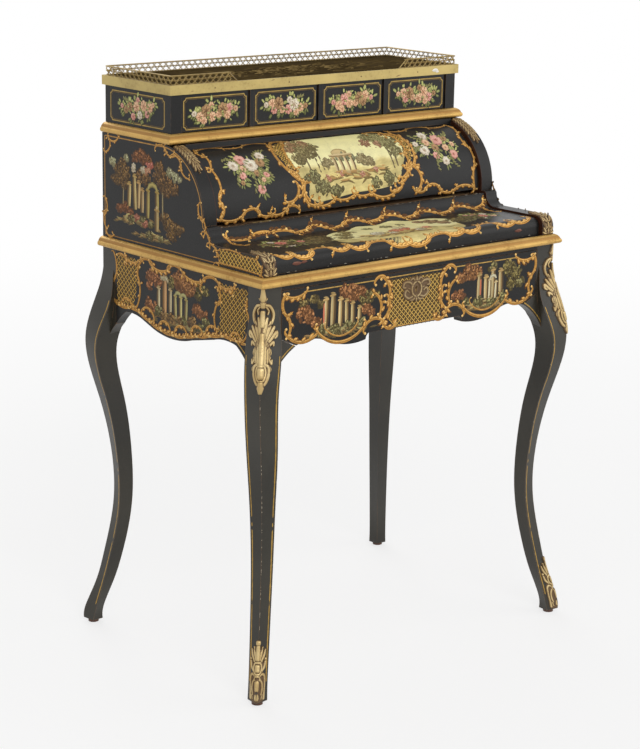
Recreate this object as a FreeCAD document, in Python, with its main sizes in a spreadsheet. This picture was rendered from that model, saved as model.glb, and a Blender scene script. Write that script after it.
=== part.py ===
"""Bonheur du jour: a lady's writing desk on cabriole legs, in millimetres.

Frame: X to the right, Y to the back, Z up; the origin is on the floor under the middle of the case.
"""
import FreeCAD, Part

import math
import os

import Sketcher
from FreeCAD import Vector

doc = FreeCAD.newDocument("bonheur_du_jour")
sheet = doc.addObject("Spreadsheet::Sheet", "Sizes")


# ---------------------------------------------------------------- sizes and how pieces are bound to them

class Size:
    """A length with its number and with the spreadsheet expression that gives it."""

    def __init__(self, number, text):
        self.number = float(number)
        self.text = text

    def __add__(self, other):
        other = as_size(other)
        return Size(self.number + other.number, f"({self.text} + {other.text})")

    def __sub__(self, other):
        other = as_size(other)
        return Size(self.number - other.number, f"({self.text} - {other.text})")

    def __mul__(self, other):
        other = as_size(other)
        return Size(self.number * other.number, f"({self.text} * {other.text})")

    def __truediv__(self, other):
        other = as_size(other)
        return Size(self.number / other.number, f"({self.text} / {other.text})")

    def __rsub__(self, other):
        return as_size(other) - self

    def __neg__(self):
        return 0 - self

    __radd__ = __add__
    __rmul__ = __mul__


def as_size(value):
    return value if isinstance(value, Size) else Size(value, f"({float(value)})")


def root(square):
    return Size(math.sqrt(square.number), f"sqrt({square.text})")


def floor_of(size):
    return Size(math.floor(size.number), f"floor({size.text})")


def cosine(degrees):
    return Size(math.cos(math.radians(degrees.number)), f"cos({degrees.text})")


def sine(degrees):
    return Size(math.sin(math.radians(degrees.number)), f"sin({degrees.text})")


bound = []  # (object, property, number) of every bound property, compared after the recompute


def bind(thing, name, size):
    size = as_size(size)
    thing.setExpression(name, size.text)
    bound.append((thing, name, size.number))


# Every named number from here to the end of the sizes is one driving dimension.
before_sizes = set(globals())

# The case
case_width = 704  # over the posts and over the cheeks
case_depth = 471  # front of the front posts to back of the back posts
leg_height = 740  # floor to the underside of the bed board
post = 40  # square head of a leg
bed_thickness = 18  # bed board and the board under the small drawers
cheek_thickness = 29  # shaped sides of the desk part
back_thickness = 12  # upper back and the box back
moulding_width = 13  # how far both mouldings stand out
moulding_lip = 2  # flat on top of a moulding before its hollow
hollow_curve = 12  # radius of the hollow
nose_curve = 4.9  # radius of the nose
hollow_drop = 8.4  # depth of the moulding's hollow, from the top
nose_drop = 17.4  # height of the moulding's nose's foot, from the top
nose_inset = 2.4  # how far the hollow's foot stays behind the nose
nose_foot = 5  # how far the nose's foot stays behind the nose

# The legs and their brackets
glide_radius = 10  # pad under a foot
post_foot_drop = 100  # bed board down to length of the square post
ear_reach = 33  # how far a front leg's ear reaches under the drawer
ear_top_drop = 94  # bed board down to top of an ear at the post
ear_tip_drop = 110  # bed board down to an ear's tip
ear_foot_drop = 170  # bed board down to where an ear dies into the leg
ear_foot_from_corner = 16  # corner of the case to an ear's foot
ear_root = 12  # corner of the case to the ear's end inside the leg
ear_curve = 130  # radius of the hollow under ears and apron ends
ear_thickness = 20  # front to back

# The aprons, rails and runners
apron_thickness = 20  # side aprons and the front of the frieze drawer
apron_end_drop = 142  # bed board down to the side apron's edge at the posts
apron_hollow = 32  # from a post to the end of the hollow beside it
apron_hollow_top_drop = 113  # bed board down to the end of the hollow
apron_peak_curve = 115  # radius of the side apron's peaks
apron_front_turn = 94  # from the front post to the end of the peak
apron_front_turn_height_drop = 114.5  # bed board down to the front peak's inner end
apron_back_turn = 84  # from the back post to the end of the peak
apron_back_turn_height_drop = 118  # bed board down to the back peak's inner end
side_lobe_end_drop = 128  # bed board down to the lobe's ends
side_lobe_half = 60  # half width of the side apron's lobe
side_lobe_centre = 22  # how far the lobe sits behind the middle of the side
side_lobe_curve = 200  # radius of the lobe
front_rail_height = 8  # thin rail over the frieze drawer
rail_depth = 40  # front rail, front to back
back_rail_height = 100  # rail between the back posts
back_rail_thickness = 18  # front to back
runner_height_drop = 100  # bed board down to the underside of the drawer runners
runner_thickness = 11  # bearing strip under a drawer side
runner_width = 40  # side apron to the strip's inner edge
guide_height = 36  # side guide of a runner

# The frieze drawer
drawer_gap = 1  # around the front of a drawer
slide_gap = 0.5  # between a drawer's box and what guides it
rest_gap = 0.3  # between a moving piece and what it rests on
frieze_flat_drop = 109.5  # bed board down to the straight middle of the front's lower edge
frieze_flat_half = 111  # half length of the straight middle
frieze_scoop = 14  # radius of the small scoop beside the straight middle
frieze_lobe_inner = 118  # middle of the case to a lobe's inner end
frieze_lobe_foot_drop = 120.5  # bed board down to a lobe's inner end
frieze_lobe_curve = 139  # radius of a lobe
frieze_turn = 200  # middle of the case to a lobe's outer end
frieze_turn_height_drop = 114  # bed board down to a lobe's outer end
frieze_peak_curve = 90  # radius of the outer peak
frieze_inset = 9  # post's face to the drawer's side
frieze_side = 11  # thickness of the drawer's sides and back
frieze_side_height = 70.7  # height of its sides
frieze_back_gap = 23  # its back to the back rail
frieze_bottom = 6  # thickness of its bottom
bottom_rise = 4  # underside of a drawer's bottom over the side's lower edge

# The lock
lock_width = 46  # lock body
lock_height = 50  # lock body
lock_depth = 10  # lock body, front to back
lock_wall = 1.5  # walls of the lock body
bolt_width = 16  # bolt
bolt_play = 0.5  # around the bolt
bolt_height = 26  # bolt
escutcheon_radius = 17  # round brass plate of the keyhole
escutcheon_thickness = 2  # round brass plate of the keyhole
keyhole_radius = 3  # round part of the keyhole
keyhole_slot = 3  # width of the keyhole's slot
keyhole_drop = 9  # length of the slot below the round part
keyhole_height_drop = 47  # bed board down to the keyhole

# The desk part
ledge_depth = 165.5  # front of the case to the cylinder's front
cheek_radius = 122  # round of the cheeks over the cylinder
step_height = 62  # bed to the step at the cylinder's foot
round_rise = 8  # step to the cylinder's axis
step_depth = 13  # depth of the step
step_round = 6  # rounded edge of the step
ledge_hollow = 24  # width of the hollow between step and ledge
ledge_hollow_curve = 24.2  # its radius
ledge_height = 35  # bed to the flat of the cheeks' ledge
cheek_nose = 20  # round of the cheeks' nose
shell_inset = 7  # how far the cylinder lies inside the cheeks' outline
shell_thickness = 10  # cylinder shutter
shell_low = 2.5  # degrees that the shutter reaches below its axis
shell_high = 84  # degrees that the shutter reaches above its axis
side_play = 2  # shutter and flap to the cheeks
swing_gap = 1  # around the shutter's sweep
quadrant_low = 0.5  # degrees between a quadrant's lower edge and the axis
quadrant_thickness = 8  # sector plates that carry the shutter
hub_radius = 12  # quadrant around its pin
pin_radius = 5  # pivot pins of the cylinder
pin_play = 0.06  # radial play of a pin in its hole
pin_bury = 12  # length of a pivot pin in the cheek
head_gap = 1.5  # quadrant to the pin's head
pin_head = 3  # length of a pin's head
pin_head_radius = 9  # head of a pivot pin
floor_thickness = 14  # floor of the cylinder compartment
floor_inset = 1  # its front edge behind the cylinder's front
floor_drop = 6  # step's top to the compartment's floor
head_rail_depth = 13  # rail over the cylinder
head_rail_inset = 2  # rail behind the front of the small-drawer box
unit_half_depth = 74  # half depth of the pigeonhole unit
unit_play = 5  # pigeonhole unit to the shutter's sweep
unit_side_gap = 23  # pigeonhole unit to the cheeks
unit_board = 8  # boards of the pigeonhole unit
unit_shelf = 6  # shelves of its side bays
centre_bay = 190  # width of the open middle bay
leather_thickness = 1.2  # lining of the writing bed
leather_margin = 22  # bare bed beside the lining
leather_front = 23.5  # bare bed in front of it
leather_depth = 250  # front to back

# The flap
flap_rest = 0.5  # flap to the bed, under its nose
flap_inset = 8  # nose of the flap behind the cheeks' nose
flap_sink = 3.5  # flat, hollow and lip inside the cheeks' outline
flap_nose = 16  # round of the flap's nose
flap_thickness = 11  # top and nose of the flap
lip_sink = 3  # lip below the cheeks' step
lip_thickness = 6.5  # lip, front to back
lip_back_height = 20  # straight back of the lip
hinge_gap = 4  # between the lip's back and the compartment's floor
hinge_length = 50  # butt hinge
hinge_spacing = 220  # between butt hinges
knuckle_radius = 1.6  # barrel of a hinge
knuckle_part = 16  # length of each fixed knuckle
knuckle_gap = 0.3  # between knuckles
hinge_pin_radius = 0.8  # hinge pins
hinge_play = 0.05  # radial play of a hinge pin
leaf_thickness = 1.2  # leaf of a hinge
leaf_height = 14  # leaf of a hinge
hinge_rise = 1.5  # floor of the compartment to the hinges' axis

# The small-drawer box
box_width = 688  # over its sides
box_depth = 199.5  # front to back
box_side = 24  # thickness of its sides
box_height = 68  # clear height for the drawers
divider = 10  # thickness of the dividers
top_thickness = 16.4  # top board
top_overhang = 3  # top board past the box
band_height = 17.2  # brass band
band_thickness = 1.6  # brass band
gallery_height = 18  # pierced gallery over the top board
gallery_thickness = 1.2  # pierced gallery
gallery_inset = 3  # gallery behind the edge of the top board
gallery_return = 150  # length of the gallery's returns on the front
gallery_slope = 20  # length of a return's sloping end
piercing_pitch = 9  # between piercings of the gallery
piercing_half_width = 3.6  # lozenge piercings of the gallery
piercing_half_height = 3.2  # lozenge piercings of the gallery
piercing_edge = 5.4  # centre of a row of piercings to the gallery's edge
piercing_end = 6.4  # first piercing to a plate's end
small_front_thickness = 12  # fronts of the small drawers
small_front_sink = 3  # fronts behind the box's front
small_wall = 6  # walls of the trays
small_bottom = 5  # bottoms of the trays
tray_drop = 8  # tray's rim below the front's top edge
tray_back_gap = 10  # tray to the box back

# The mounts
mount_thickness = 4  # knee and toe mounts, along the arris
mount_edge = 1.2  # knee and toe mounts, at their edges
mount_root = 12  # how deep a mount's blank reaches into the leg
knee_mount_wide = 0.62  # share of the leg's face that it covers
knee_mount_narrow = 0.2  # the same, at its ends
toe_mount_wide = 0.6  # share of the foot's face that it covers
toe_mount_narrow = 0.25  # the same, at its tip
knee_mount_top_drop = 2  # bed board down to the upper end of a knee mount
toe_mount_foot = 12  # lower edge of a toe mount
toe_mount_top = 125  # upper tip of a toe mount
leaf_mount_thickness = 2.5  # leaf mounts on the cheeks
leaf_mount_margin = 2  # bare edge of a cheek beside its leaf mounts
shoulder_leaf_low = 40  # degrees over the axis, lower end
shoulder_leaf_high = 76  # degrees over the axis, upper end
nose_leaf_length = 22  # nose leaf along the flat of the ledge


# The legs: sections measured along the diagonal of the case's corner. Each row has the height from the
# floor, or the drop from the bed board, then the distances from the corner outwards to the outer arris,
# the side arrises and the inner arris, and the half width.
foot_height, foot_outer, foot_side, foot_inner, foot_half = 6, 44, 22, 7, 17.5
toe_height, toe_outer, toe_side, toe_inner, toe_half = 45, 35, 13, 0.5, 17
instep_height, instep_outer, instep_side, instep_inner, instep_half = 90, 17, 0.5, -17, 17.4
shin_height, shin_outer, shin_side, shin_inner, shin_half = 140, 4, -12, -32, 18
ankle_height, ankle_outer, ankle_side, ankle_inner, ankle_half = 250, -16, -31, -52, 20
calf_height, calf_outer, calf_side, calf_inner, calf_half = 350, -12, -27, -51, 23
thigh_height, thigh_outer, thigh_side, thigh_inner, thigh_half = 450, 10, -10, -38, 27.5
knee_drop, knee_outer, knee_side, knee_inner, knee_half = 174, 35, 8, -27, 30
shoulder_drop, shoulder_outer, shoulder_side, shoulder_inner, shoulder_half = 100, 16, -18, -50, 31
swell_top_drop = 40  # bed board down to where the leg starts to swell out of its post
neck_drop, neck_outer, neck_side, neck_inner, neck_half = 70, 6, -22, -46, 28
swell_square = 34  # square at the corner from which the swell starts, inside the post
glide_out = 25  # corner of the case to the middle of a glide


def write_sizes():
    """Write the named numbers above into the sheet and let each name stand for its cell."""
    numbers = {name: value for name, value in globals().items()
               if name not in before_sizes and isinstance(value, (int, float))}
    for row, (name, number) in enumerate(numbers.items(), 1):
        sheet.set(f"A{row}", name)
        sheet.set(f"B{row}", str(number))
        sheet.setAlias(f"B{row}", name)
        globals()[name] = Size(number, f"Sizes.{name}")


write_sizes()


class Station:
    """A kite-shaped section of a leg."""

    def __init__(self, height, outer, side, inner, half):
        self.height, self.outer, self.side, self.inner, self.half = height, outer, side, inner, half


foot = Station(foot_height, foot_outer, foot_side, foot_inner, foot_half)
toe = Station(toe_height, toe_outer, toe_side, toe_inner, toe_half)
instep = Station(instep_height, instep_outer, instep_side, instep_inner, instep_half)
shin = Station(shin_height, shin_outer, shin_side, shin_inner, shin_half)
ankle = Station(ankle_height, ankle_outer, ankle_side, ankle_inner, ankle_half)
calf = Station(calf_height, calf_outer, calf_side, calf_inner, calf_half)
thigh = Station(thigh_height, thigh_outer, thigh_side, thigh_inner, thigh_half)
knee = Station(leg_height - knee_drop, knee_outer, knee_side, knee_inner, knee_half)
shoulder = Station(leg_height - shoulder_drop, shoulder_outer, shoulder_side, shoulder_inner, shoulder_half)
neck = Station(leg_height - neck_drop, neck_outer, neck_side, neck_inner, neck_half)

right, left = case_width / 2, case_width / -2
post_foot = leg_height - post_foot_drop
ear_top = leg_height - ear_top_drop
ear_tip = leg_height - ear_tip_drop
ear_foot = leg_height - ear_foot_drop
apron_end = leg_height - apron_end_drop
apron_hollow_top = leg_height - apron_hollow_top_drop
apron_front_turn_height = leg_height - apron_front_turn_height_drop
apron_back_turn_height = leg_height - apron_back_turn_height_drop
side_lobe_end = leg_height - side_lobe_end_drop
runner_height = leg_height - runner_height_drop
frieze_flat = leg_height - frieze_flat_drop
frieze_lobe_foot = leg_height - frieze_lobe_foot_drop
frieze_turn_height = leg_height - frieze_turn_height_drop
keyhole_height = leg_height - keyhole_height_drop
swell_top = leg_height - swell_top_drop
knee_mount_top = leg_height - knee_mount_top_drop
front, back = case_depth / -2, case_depth / 2
bed_top = leg_height + bed_thickness
step_top = bed_top + step_height
axis_height = step_top + round_rise
axis_back = front + ledge_depth + cheek_radius
board_low = axis_height + cheek_radius
box_low = board_low + bed_thickness
box_top = box_low + box_height
box_front = back - box_depth
floor_top = step_top - floor_drop
shell_radius = cheek_radius - shell_inset


# ---------------------------------------------------------------- ways of making a piece

nodes = {}  # name of a node -> its object


def keep(name, thing):
    thing.Label = name
    nodes[name] = thing
    return thing


def block(name, x, y, z):
    """A squared board between pairs of planes."""
    box = doc.addObject("Part::Box", name)
    for side, place, (low, high) in zip(("Length", "Width", "Height"), "xyz", (x, y, z)):
        bind(box, side, high - low)
        bind(box, f"Placement.Base.{place}", low)
    return box


def rod(name, radius, centre, along, low, high):
    """A round bar along X ("x") or Y ("y"), centred on the two other coordinates."""
    bar = doc.addObject("Part::Cylinder", name)
    bind(bar, "Radius", radius)
    bind(bar, "Height", high - low)
    if along == "x":
        bar.Placement.Rotation = FreeCAD.Rotation(Vector(0, 1, 0), 90)
        place = {"x": low, "y": centre[0], "z": centre[1]}
    else:
        bar.Placement.Rotation = FreeCAD.Rotation(Vector(1, 0, 0), -90)
        place = {"x": centre[0], "y": low, "z": centre[1]}
    for axis, value in place.items():
        bind(bar, f"Placement.Base.{axis}", value)
    return bar


def cut(name, base, tool):
    whole = doc.addObject("Part::Cut", name)
    whole.Base, whole.Tool = base, tool
    return whole


def fuse(name, shapes):
    whole = doc.addObject("Part::MultiFuse", name)
    whole.Shapes = shapes
    whole.Refine = True
    return whole


def group(name, shapes):
    """Separate solids that share one node."""
    whole = doc.addObject("Part::Compound", name)
    whole.Links = shapes
    return whole


def mirrored(name, source, normal=(1, 0, 0)):
    twin = doc.addObject("Part::Mirroring", name)
    twin.Source, twin.Base, twin.Normal = source, (0, 0, 0), normal
    return twin


def sketch_in(body, plane, start):
    """An empty sketch on one of the body's own planes, moved along X, Y or Z to `start`."""
    sketch = body.newObject("Sketcher::SketchObject", f"{body.Name}_outline")
    plane_role = {"x": "YZ_Plane", "y": "XZ_Plane", "z": "XY_Plane"}[plane]
    base = next(feature for feature in body.Origin.OriginFeatures if feature.Role == plane_role)
    sketch.AttachmentSupport = [(base, "")]
    sketch.MapMode = "FlatFace"
    bind(sketch, "AttachmentOffset.Base.z", -start if plane == "y" else start)
    return sketch


def draw(sketch, corners):
    """Draw a closed outline. A corner is (x, y), or (x, y, radius) where the way to the next
    corner is an arc: it bulges to the right of the way, or to the left where the radius is
    written as a negative number."""
    corners = [tuple(as_size(value) for value in corner) for corner in corners]
    drawn = sketch.GeometryCount
    ends = []
    for index, corner in enumerate(corners):
        start = Vector(corner[0].number, corner[1].number, 0)
        target = corners[(index + 1) % len(corners)]
        end = Vector(target[0].number, target[1].number, 0)
        if len(corner) == 2:
            sketch.addGeometry(Part.LineSegment(start, end), False)
            ends.append((1, 2))
            continue
        radius, side = abs(corner[2].number), math.copysign(1, corner[2].number)
        chord = end - start
        rise = math.sqrt(max(radius ** 2 - (chord.Length / 2) ** 2, 0))
        to_left = Vector(-chord.y, chord.x, 0).normalize()
        centre = (start + end) * 0.5 + to_left * (rise * side)
        first, last = (start, end) if side > 0 else (end, start)
        begin, finish = (math.atan2(point.y - centre.y, point.x - centre.x) for point in (first, last))
        circle = Part.Circle(centre, Vector(0, 0, 1), radius)
        sketch.addGeometry(Part.ArcOfCircle(circle, begin, finish + 2 * math.pi * (finish < begin)), False)
        ends.append((1, 2) if side > 0 else (2, 1))
    for index in range(len(corners)):
        following = (index + 1) % len(corners)
        sketch.addConstraint(Sketcher.Constraint("Coincident", drawn + index, ends[index][1],
                                                 drawn + following, ends[following][0]))
    for index, corner in enumerate(corners):
        for kind, value in (("DistanceX", corner[0]), ("DistanceY", corner[1])):
            number = sketch.addConstraint(Sketcher.Constraint(
                kind, -1, 1, drawn + index, ends[index][0], value.number))
            sketch.setExpression(f"Constraints[{number}]", value.text)
        if len(corner) == 3:
            size = corner[2] if corner[2].number > 0 else -corner[2]
            number = sketch.addConstraint(Sketcher.Constraint("Radius", drawn + index, size.number))
            sketch.setExpression(f"Constraints[{number}]", size.text)


def draw_path(sketch, corners):
    """Draw an open line of straight parts."""
    corners = [tuple(as_size(value) for value in corner) for corner in corners]
    points = [Vector(x.number, y.number, 0) for x, y in corners]
    for index, (start, end) in enumerate(zip(points, points[1:])):
        sketch.addGeometry(Part.LineSegment(start, end), False)
        if index:
            sketch.addConstraint(Sketcher.Constraint("Coincident", index - 1, 2, index, 1))
    for index, corner in enumerate(corners):
        line, end = (index, 1) if index < len(corners) - 1 else (index - 1, 2)
        for kind, value in zip(("DistanceX", "DistanceY"), corner):
            number = sketch.addConstraint(Sketcher.Constraint(kind, -1, 1, line, end, value.number))
            sketch.setExpression(f"Constraints[{number}]", value.text)


def add_board(body, plane, corners, start, end):
    """Add to a body the board whose outline lies across X, Y or Z, between two planes."""
    sketch = sketch_in(body, plane, start)
    draw(sketch, corners)
    pad = body.newObject("PartDesign::Pad", f"{body.Name}_board")
    pad.Profile = sketch
    bind(pad, "Length", end - start)
    pad.Reversed = plane == "y"
    return pad


def shaped(name, plane, corners, start, end):
    body = doc.addObject("PartDesign::Body", name)
    add_board(body, plane, corners, start, end)
    return body


def add_loft(body, sections):
    """Loft through (height, corners) sections, from the lowest to the highest."""
    sketches = []
    for height, corners in sections:
        sketch = sketch_in(body, "z", height)
        draw(sketch, corners)
        sketches.append(sketch)
    skin = body.newObject("PartDesign::AdditiveLoft", f"{body.Name}_skin")
    skin.Profile = sketches[0]
    skin.Sections = sketches[1:]
    skin.Ruled = False
    return skin


def moulding(name, half_width, front_edge, low):
    """A moulding along the left side, the front and the right side of a board, mitred."""
    body = doc.addObject("PartDesign::Body", name)
    top = low + bed_thickness
    outer = half_width + moulding_width
    profile = sketch_in(body, "y", back)
    draw(profile, [
        (-half_width, low), (-half_width, top), (-half_width - moulding_lip, top, hollow_curve),
        (-outer + nose_inset, top - hollow_drop, nose_curve), (-outer + nose_foot, top - nose_drop)])
    path = sketch_in(body, "z", low)
    corners = [(-half_width, back), (-half_width, front_edge), (half_width, front_edge), (half_width, back)]
    draw_path(path, corners)
    pipe = body.newObject("PartDesign::AdditivePipe", f"{name}_pipe")
    pipe.Profile = profile
    pipe.Spine = (path, ["Edge1", "Edge2", "Edge3"])
    pipe.Transition = "Right corner"
    return body


def pair(stem, thing):
    """Keep a left piece and its mirror image on the right."""
    keep(f"{stem}_left", thing)
    keep(f"{stem}_right", mirrored(f"{stem}_twin", thing))


# ---------------------------------------------------------------- legs

def on_corner(out, across):
    """A point of the front left corner, from its distance outwards and to the right."""
    root_two = root(as_size(2))
    return left + (across - out) / root_two, front - (across + out) / root_two


def kite(outer, side, inner, half):
    return [on_corner(outer, 0), on_corner(side, half), on_corner(inner, 0), on_corner(side, -half)]


def corner_square(side):
    return [(left, front), (left + side, front), (left + side, front + side), (left, front + side)]


head = corner_square(post)
stations = [foot, toe, instep, shin, ankle, calf, thigh, knee, shoulder, neck]
sections = [(one.height, kite(one.outer, one.side, one.inner, one.half)) for one in stations]
leg = doc.addObject("PartDesign::Body", "leg")
add_loft(leg, sections + [(swell_top, corner_square(swell_square))])
add_board(leg, "z", head, post_foot, leg_height)
hollow_end = front + post, apron_end
add_board(leg, "x", [
    (front + ear_foot_from_corner, ear_foot, -ear_curve), hollow_end, (front + post, ear_top),
    (front + ear_root, ear_top), (front + ear_root, ear_foot)], left, left + apron_thickness)

front_ear = shaped("front_ear", "y", [
    (left + ear_foot_from_corner, ear_foot, -ear_curve), (left + post + ear_reach, ear_tip),
    (left + post, ear_top), (left + ear_root, ear_top), (left + ear_root, ear_foot)],
    front, front + ear_thickness)
front_leg = fuse("front_leg", [leg, front_ear])
pair("leg_front", front_leg)
pair("leg_back", mirrored("back_leg", leg, (0, 1, 0)))

glide_at = left - glide_out / root(as_size(2)), front - glide_out / root(as_size(2))
glides = []
for x_side, y_side in ((1, 1), (-1, 1), (1, -1), (-1, -1)):
    glide = doc.addObject("Part::Cylinder", "glide")
    bind(glide, "Radius", glide_radius)
    bind(glide, "Height", foot.height)
    bind(glide, "Placement.Base.x", x_side * glide_at[0])
    bind(glide, "Placement.Base.y", y_side * glide_at[1])
    glides.append(glide)
keep("foot_glides", group("glides", glides))


# ---------------------------------------------------------------- aprons, rails and runners

post_back, post_front = back - post, front + post
pair("side_apron", shaped("side_apron", "x", [
    (post_front, apron_end, -ear_curve),
    (post_front + apron_hollow, apron_hollow_top, -apron_peak_curve),
    (post_front + apron_front_turn, apron_front_turn_height),
    (side_lobe_centre - side_lobe_half, side_lobe_end, side_lobe_curve),
    (side_lobe_centre + side_lobe_half, side_lobe_end),
    (post_back - apron_back_turn, apron_back_turn_height, -apron_peak_curve),
    (post_back - apron_hollow, apron_hollow_top, -ear_curve),
    (post_back, apron_end), (post_back, leg_height), (post_front, leg_height)],
    left, left + apron_thickness))

between_posts = left + post, right - post
keep("back_rail", block("back_rail", between_posts, (back - back_rail_thickness, back),
                        (leg_height - back_rail_height, leg_height)))

rail_low = leg_height - front_rail_height
lock_front = front + apron_thickness
bolt_front = lock_front + lock_wall + bolt_play * 2
bolt_depth = lock_depth - (lock_wall + bolt_play * 2) * 2
mortise = block("mortise", (-bolt_width / 2 - bolt_play * 4, bolt_width / 2 + bolt_play * 4),
                (bolt_front - bolt_play * 3, bolt_front + bolt_depth + bolt_play * 3), (rail_low, leg_height))
rail = block("rail", between_posts, (front, front + rail_depth), (rail_low, leg_height))
keep("front_rail", cut("bored_rail", rail, mortise))

guide_line = left + apron_thickness
strip_top = runner_height + runner_thickness
drawer_side = between_posts[0] + frieze_inset
pair("drawer_runner", shaped("runner", "y", [
    (guide_line, runner_height), (guide_line + runner_width, runner_height),
    (guide_line + runner_width, strip_top), (drawer_side - slide_gap, strip_top),
    (drawer_side - slide_gap, runner_height + guide_height), (guide_line, runner_height + guide_height)],
    post_front, post_back))


# ---------------------------------------------------------------- bed and table moulding

keep("bed_board", block("bed", (left, right), (front, back), (leg_height, bed_top)))
keep("table_moulding", moulding("table_profile", right, front, leg_height))
lining_side = right - cheek_thickness - leather_margin
lining_front = front + leather_front
keep("writing_leather", block("lining", (-lining_side, lining_side),
                              (lining_front, lining_front + leather_depth),
                              (bed_top, bed_top + leather_thickness)))


# ---------------------------------------------------------------- frieze drawer and its lock

drawer_top = rail_low - drawer_gap
front_left = between_posts[0] + drawer_gap
front_back = front + apron_thickness
lower_left = [
    (front_left, ear_top + drawer_gap),
    (between_posts[0] + ear_reach + drawer_gap * 1.5, ear_tip + drawer_gap, -frieze_peak_curve),
    (-frieze_turn, frieze_turn_height, frieze_lobe_curve),
    (-frieze_lobe_inner, frieze_lobe_foot, -frieze_scoop),
    (-frieze_flat_half, frieze_flat)]
lower_right = [
    (frieze_flat_half, frieze_flat, -frieze_scoop),
    (frieze_lobe_inner, frieze_lobe_foot, frieze_lobe_curve),
    (frieze_turn, frieze_turn_height, -frieze_peak_curve),
    (-lower_left[1][0], lower_left[1][1]),
    (-front_left, ear_top + drawer_gap)]
drawer_front = shaped("drawer_front", "y", lower_left + lower_right + [
    (-front_left, drawer_top), (front_left, drawer_top)], front, front_back)

key_end = lock_front + lock_wall + bolt_play
keyhole_front = front - escutcheon_thickness
keyhole = fuse("keyhole", [
    rod("key_round", keyhole_radius, (0, keyhole_height), "y", keyhole_front, key_end),
    block("key_slot", (-keyhole_slot / 2, keyhole_slot / 2), (keyhole_front, key_end),
          (keyhole_height - keyhole_drop, keyhole_height))])
keep("frieze_drawer_front", cut("keyed_front", drawer_front, keyhole))
plate = rod("plate", escutcheon_radius, (0, keyhole_height), "y", keyhole_front, front)
keep("escutcheon", cut("keyed_plate", plate, keyhole))

side_low = strip_top + rest_gap
side_top = side_low + frieze_side_height
side_end = back - back_rail_thickness - frieze_back_gap
inside = drawer_side + frieze_side
bottom_low = side_low + bottom_rise
pair("frieze_drawer_side", block("drawer_side", (drawer_side, inside), (front_back, side_end),
                                 (side_low, side_top)))
keep("frieze_drawer_bottom", block("drawer_bottom", (inside, -inside), (front_back, side_end),
                                   (bottom_low, bottom_low + frieze_bottom)))
keep("frieze_drawer_back", block("drawer_back", (inside, -inside), (side_end - frieze_side, side_end),
                                 (bottom_low + frieze_bottom, side_top)))

bolt_half = bolt_width / 2
lock_case = block("lock_case", (lock_width / -2, lock_width / 2), (lock_front, lock_front + lock_depth),
                  (drawer_top - lock_height, drawer_top))
bolt_room = block("bolt_room", (-bolt_half - bolt_play, bolt_half + bolt_play),
                  (bolt_front - bolt_play, bolt_front + bolt_depth + bolt_play),
                  (drawer_top - lock_height + lock_wall * 4, drawer_top))
keep("lock_body", cut("lock", lock_case, fuse("lock_hollows", [bolt_room, keyhole])))
bolt_top = drawer_top - bolt_play
keep("lock_bolt", block("bolt", (-bolt_half, bolt_half), (bolt_front, bolt_front + bolt_depth),
                        (bolt_top - bolt_height, bolt_top)))


# ---------------------------------------------------------------- cheeks, back and compartment

cheek_inside = left + cheek_thickness
cheek_front = axis_back - cheek_radius
ledge_top = bed_top + ledge_height
step_front = cheek_front - step_depth
cheek_board = shaped("cheek_board", "x", [
    (front, bed_top), (back, bed_top), (back, board_low), (axis_back, board_low, cheek_radius),
    (cheek_front, axis_height), (cheek_front, step_top), (step_front + step_round, step_top, step_round),
    (step_front, step_top - step_round, -ledge_hollow_curve), (step_front - ledge_hollow, ledge_top),
    (front + cheek_nose, ledge_top, cheek_nose), (front, ledge_top - cheek_nose)],
    left, cheek_inside)
axis = axis_back, axis_height
pin_end = cheek_inside - pin_bury
pair("cheek", cut("bored_cheek", cheek_board, rod("pin_hole", pin_radius, axis, "x", pin_end, cheek_inside)))

keep("upper_back", block("panel", (cheek_inside, -cheek_inside), (back - back_thickness, back),
                         (bed_top, board_low)))
floor_front = cheek_front + floor_inset
keep("compartment_floor", block("floor", (cheek_inside, -cheek_inside), (floor_front, back - back_thickness),
                                (floor_top - floor_thickness, floor_top)))

sweep = shell_radius + swing_gap
rail_back = box_front - head_rail_inset
rail_front = rail_back - head_rail_depth


def over_sweep(y):
    return axis_height + root(sweep * sweep - (axis_back - y) * (axis_back - y))


keep("head_rail", shaped("rail_over_shutter", "x", [
    (rail_front, over_sweep(rail_front), -sweep), (rail_back, over_sweep(rail_back)),
    (rail_back, board_low), (rail_front, board_low)], cheek_inside, -cheek_inside))

unit_side = cheek_inside + unit_side_gap
unit_front, unit_back = axis_back - unit_half_depth, axis_back + unit_half_depth
inner_shell = shell_radius - shell_thickness
unit_reach = inner_shell - unit_play
unit_top = axis_height + root(unit_reach * unit_reach - unit_half_depth * unit_half_depth)
bay_low, bay_top = floor_top + unit_board, unit_top - unit_board
bay_middle = (bay_low + bay_top) / 2
bay_depth = unit_front, unit_back - unit_board
inner_wall = centre_bay / 2 + unit_board
bay_width = (-unit_side - inner_wall - unit_board * 2) / 2
bays = [block("centre_bay", (centre_bay / -2, centre_bay / 2), bay_depth, (bay_low, bay_top))]
for side in (1, -1):
    for near in (inner_wall, inner_wall + bay_width + unit_board):
        ends = sorted((side * near, side * (near + bay_width)), key=lambda size: size.number)
        for low, high in ((bay_low, bay_middle - unit_shelf / 2), (bay_middle + unit_shelf / 2, bay_top)):
            bays.append(block("bay", ends, bay_depth, (low, high)))
unit = block("unit", (unit_side, -unit_side), (unit_front, unit_back), (floor_top, unit_top))
keep("pigeonholes", cut("open_unit", unit, group("bays", bays)))


# ---------------------------------------------------------------- cylinder shutter

def round_axis(radius, degrees):
    """A point at an angle above the front of the cylinder's axis."""
    return axis_back - radius * cosine(degrees), axis_height + radius * sine(degrees)


def ring_part(inner, outer, low, high):
    top_out, top_in = round_axis(outer, high), round_axis(inner, high)
    return [(*top_out, outer), round_axis(outer, low), (*round_axis(inner, low), -inner), top_in]


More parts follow.
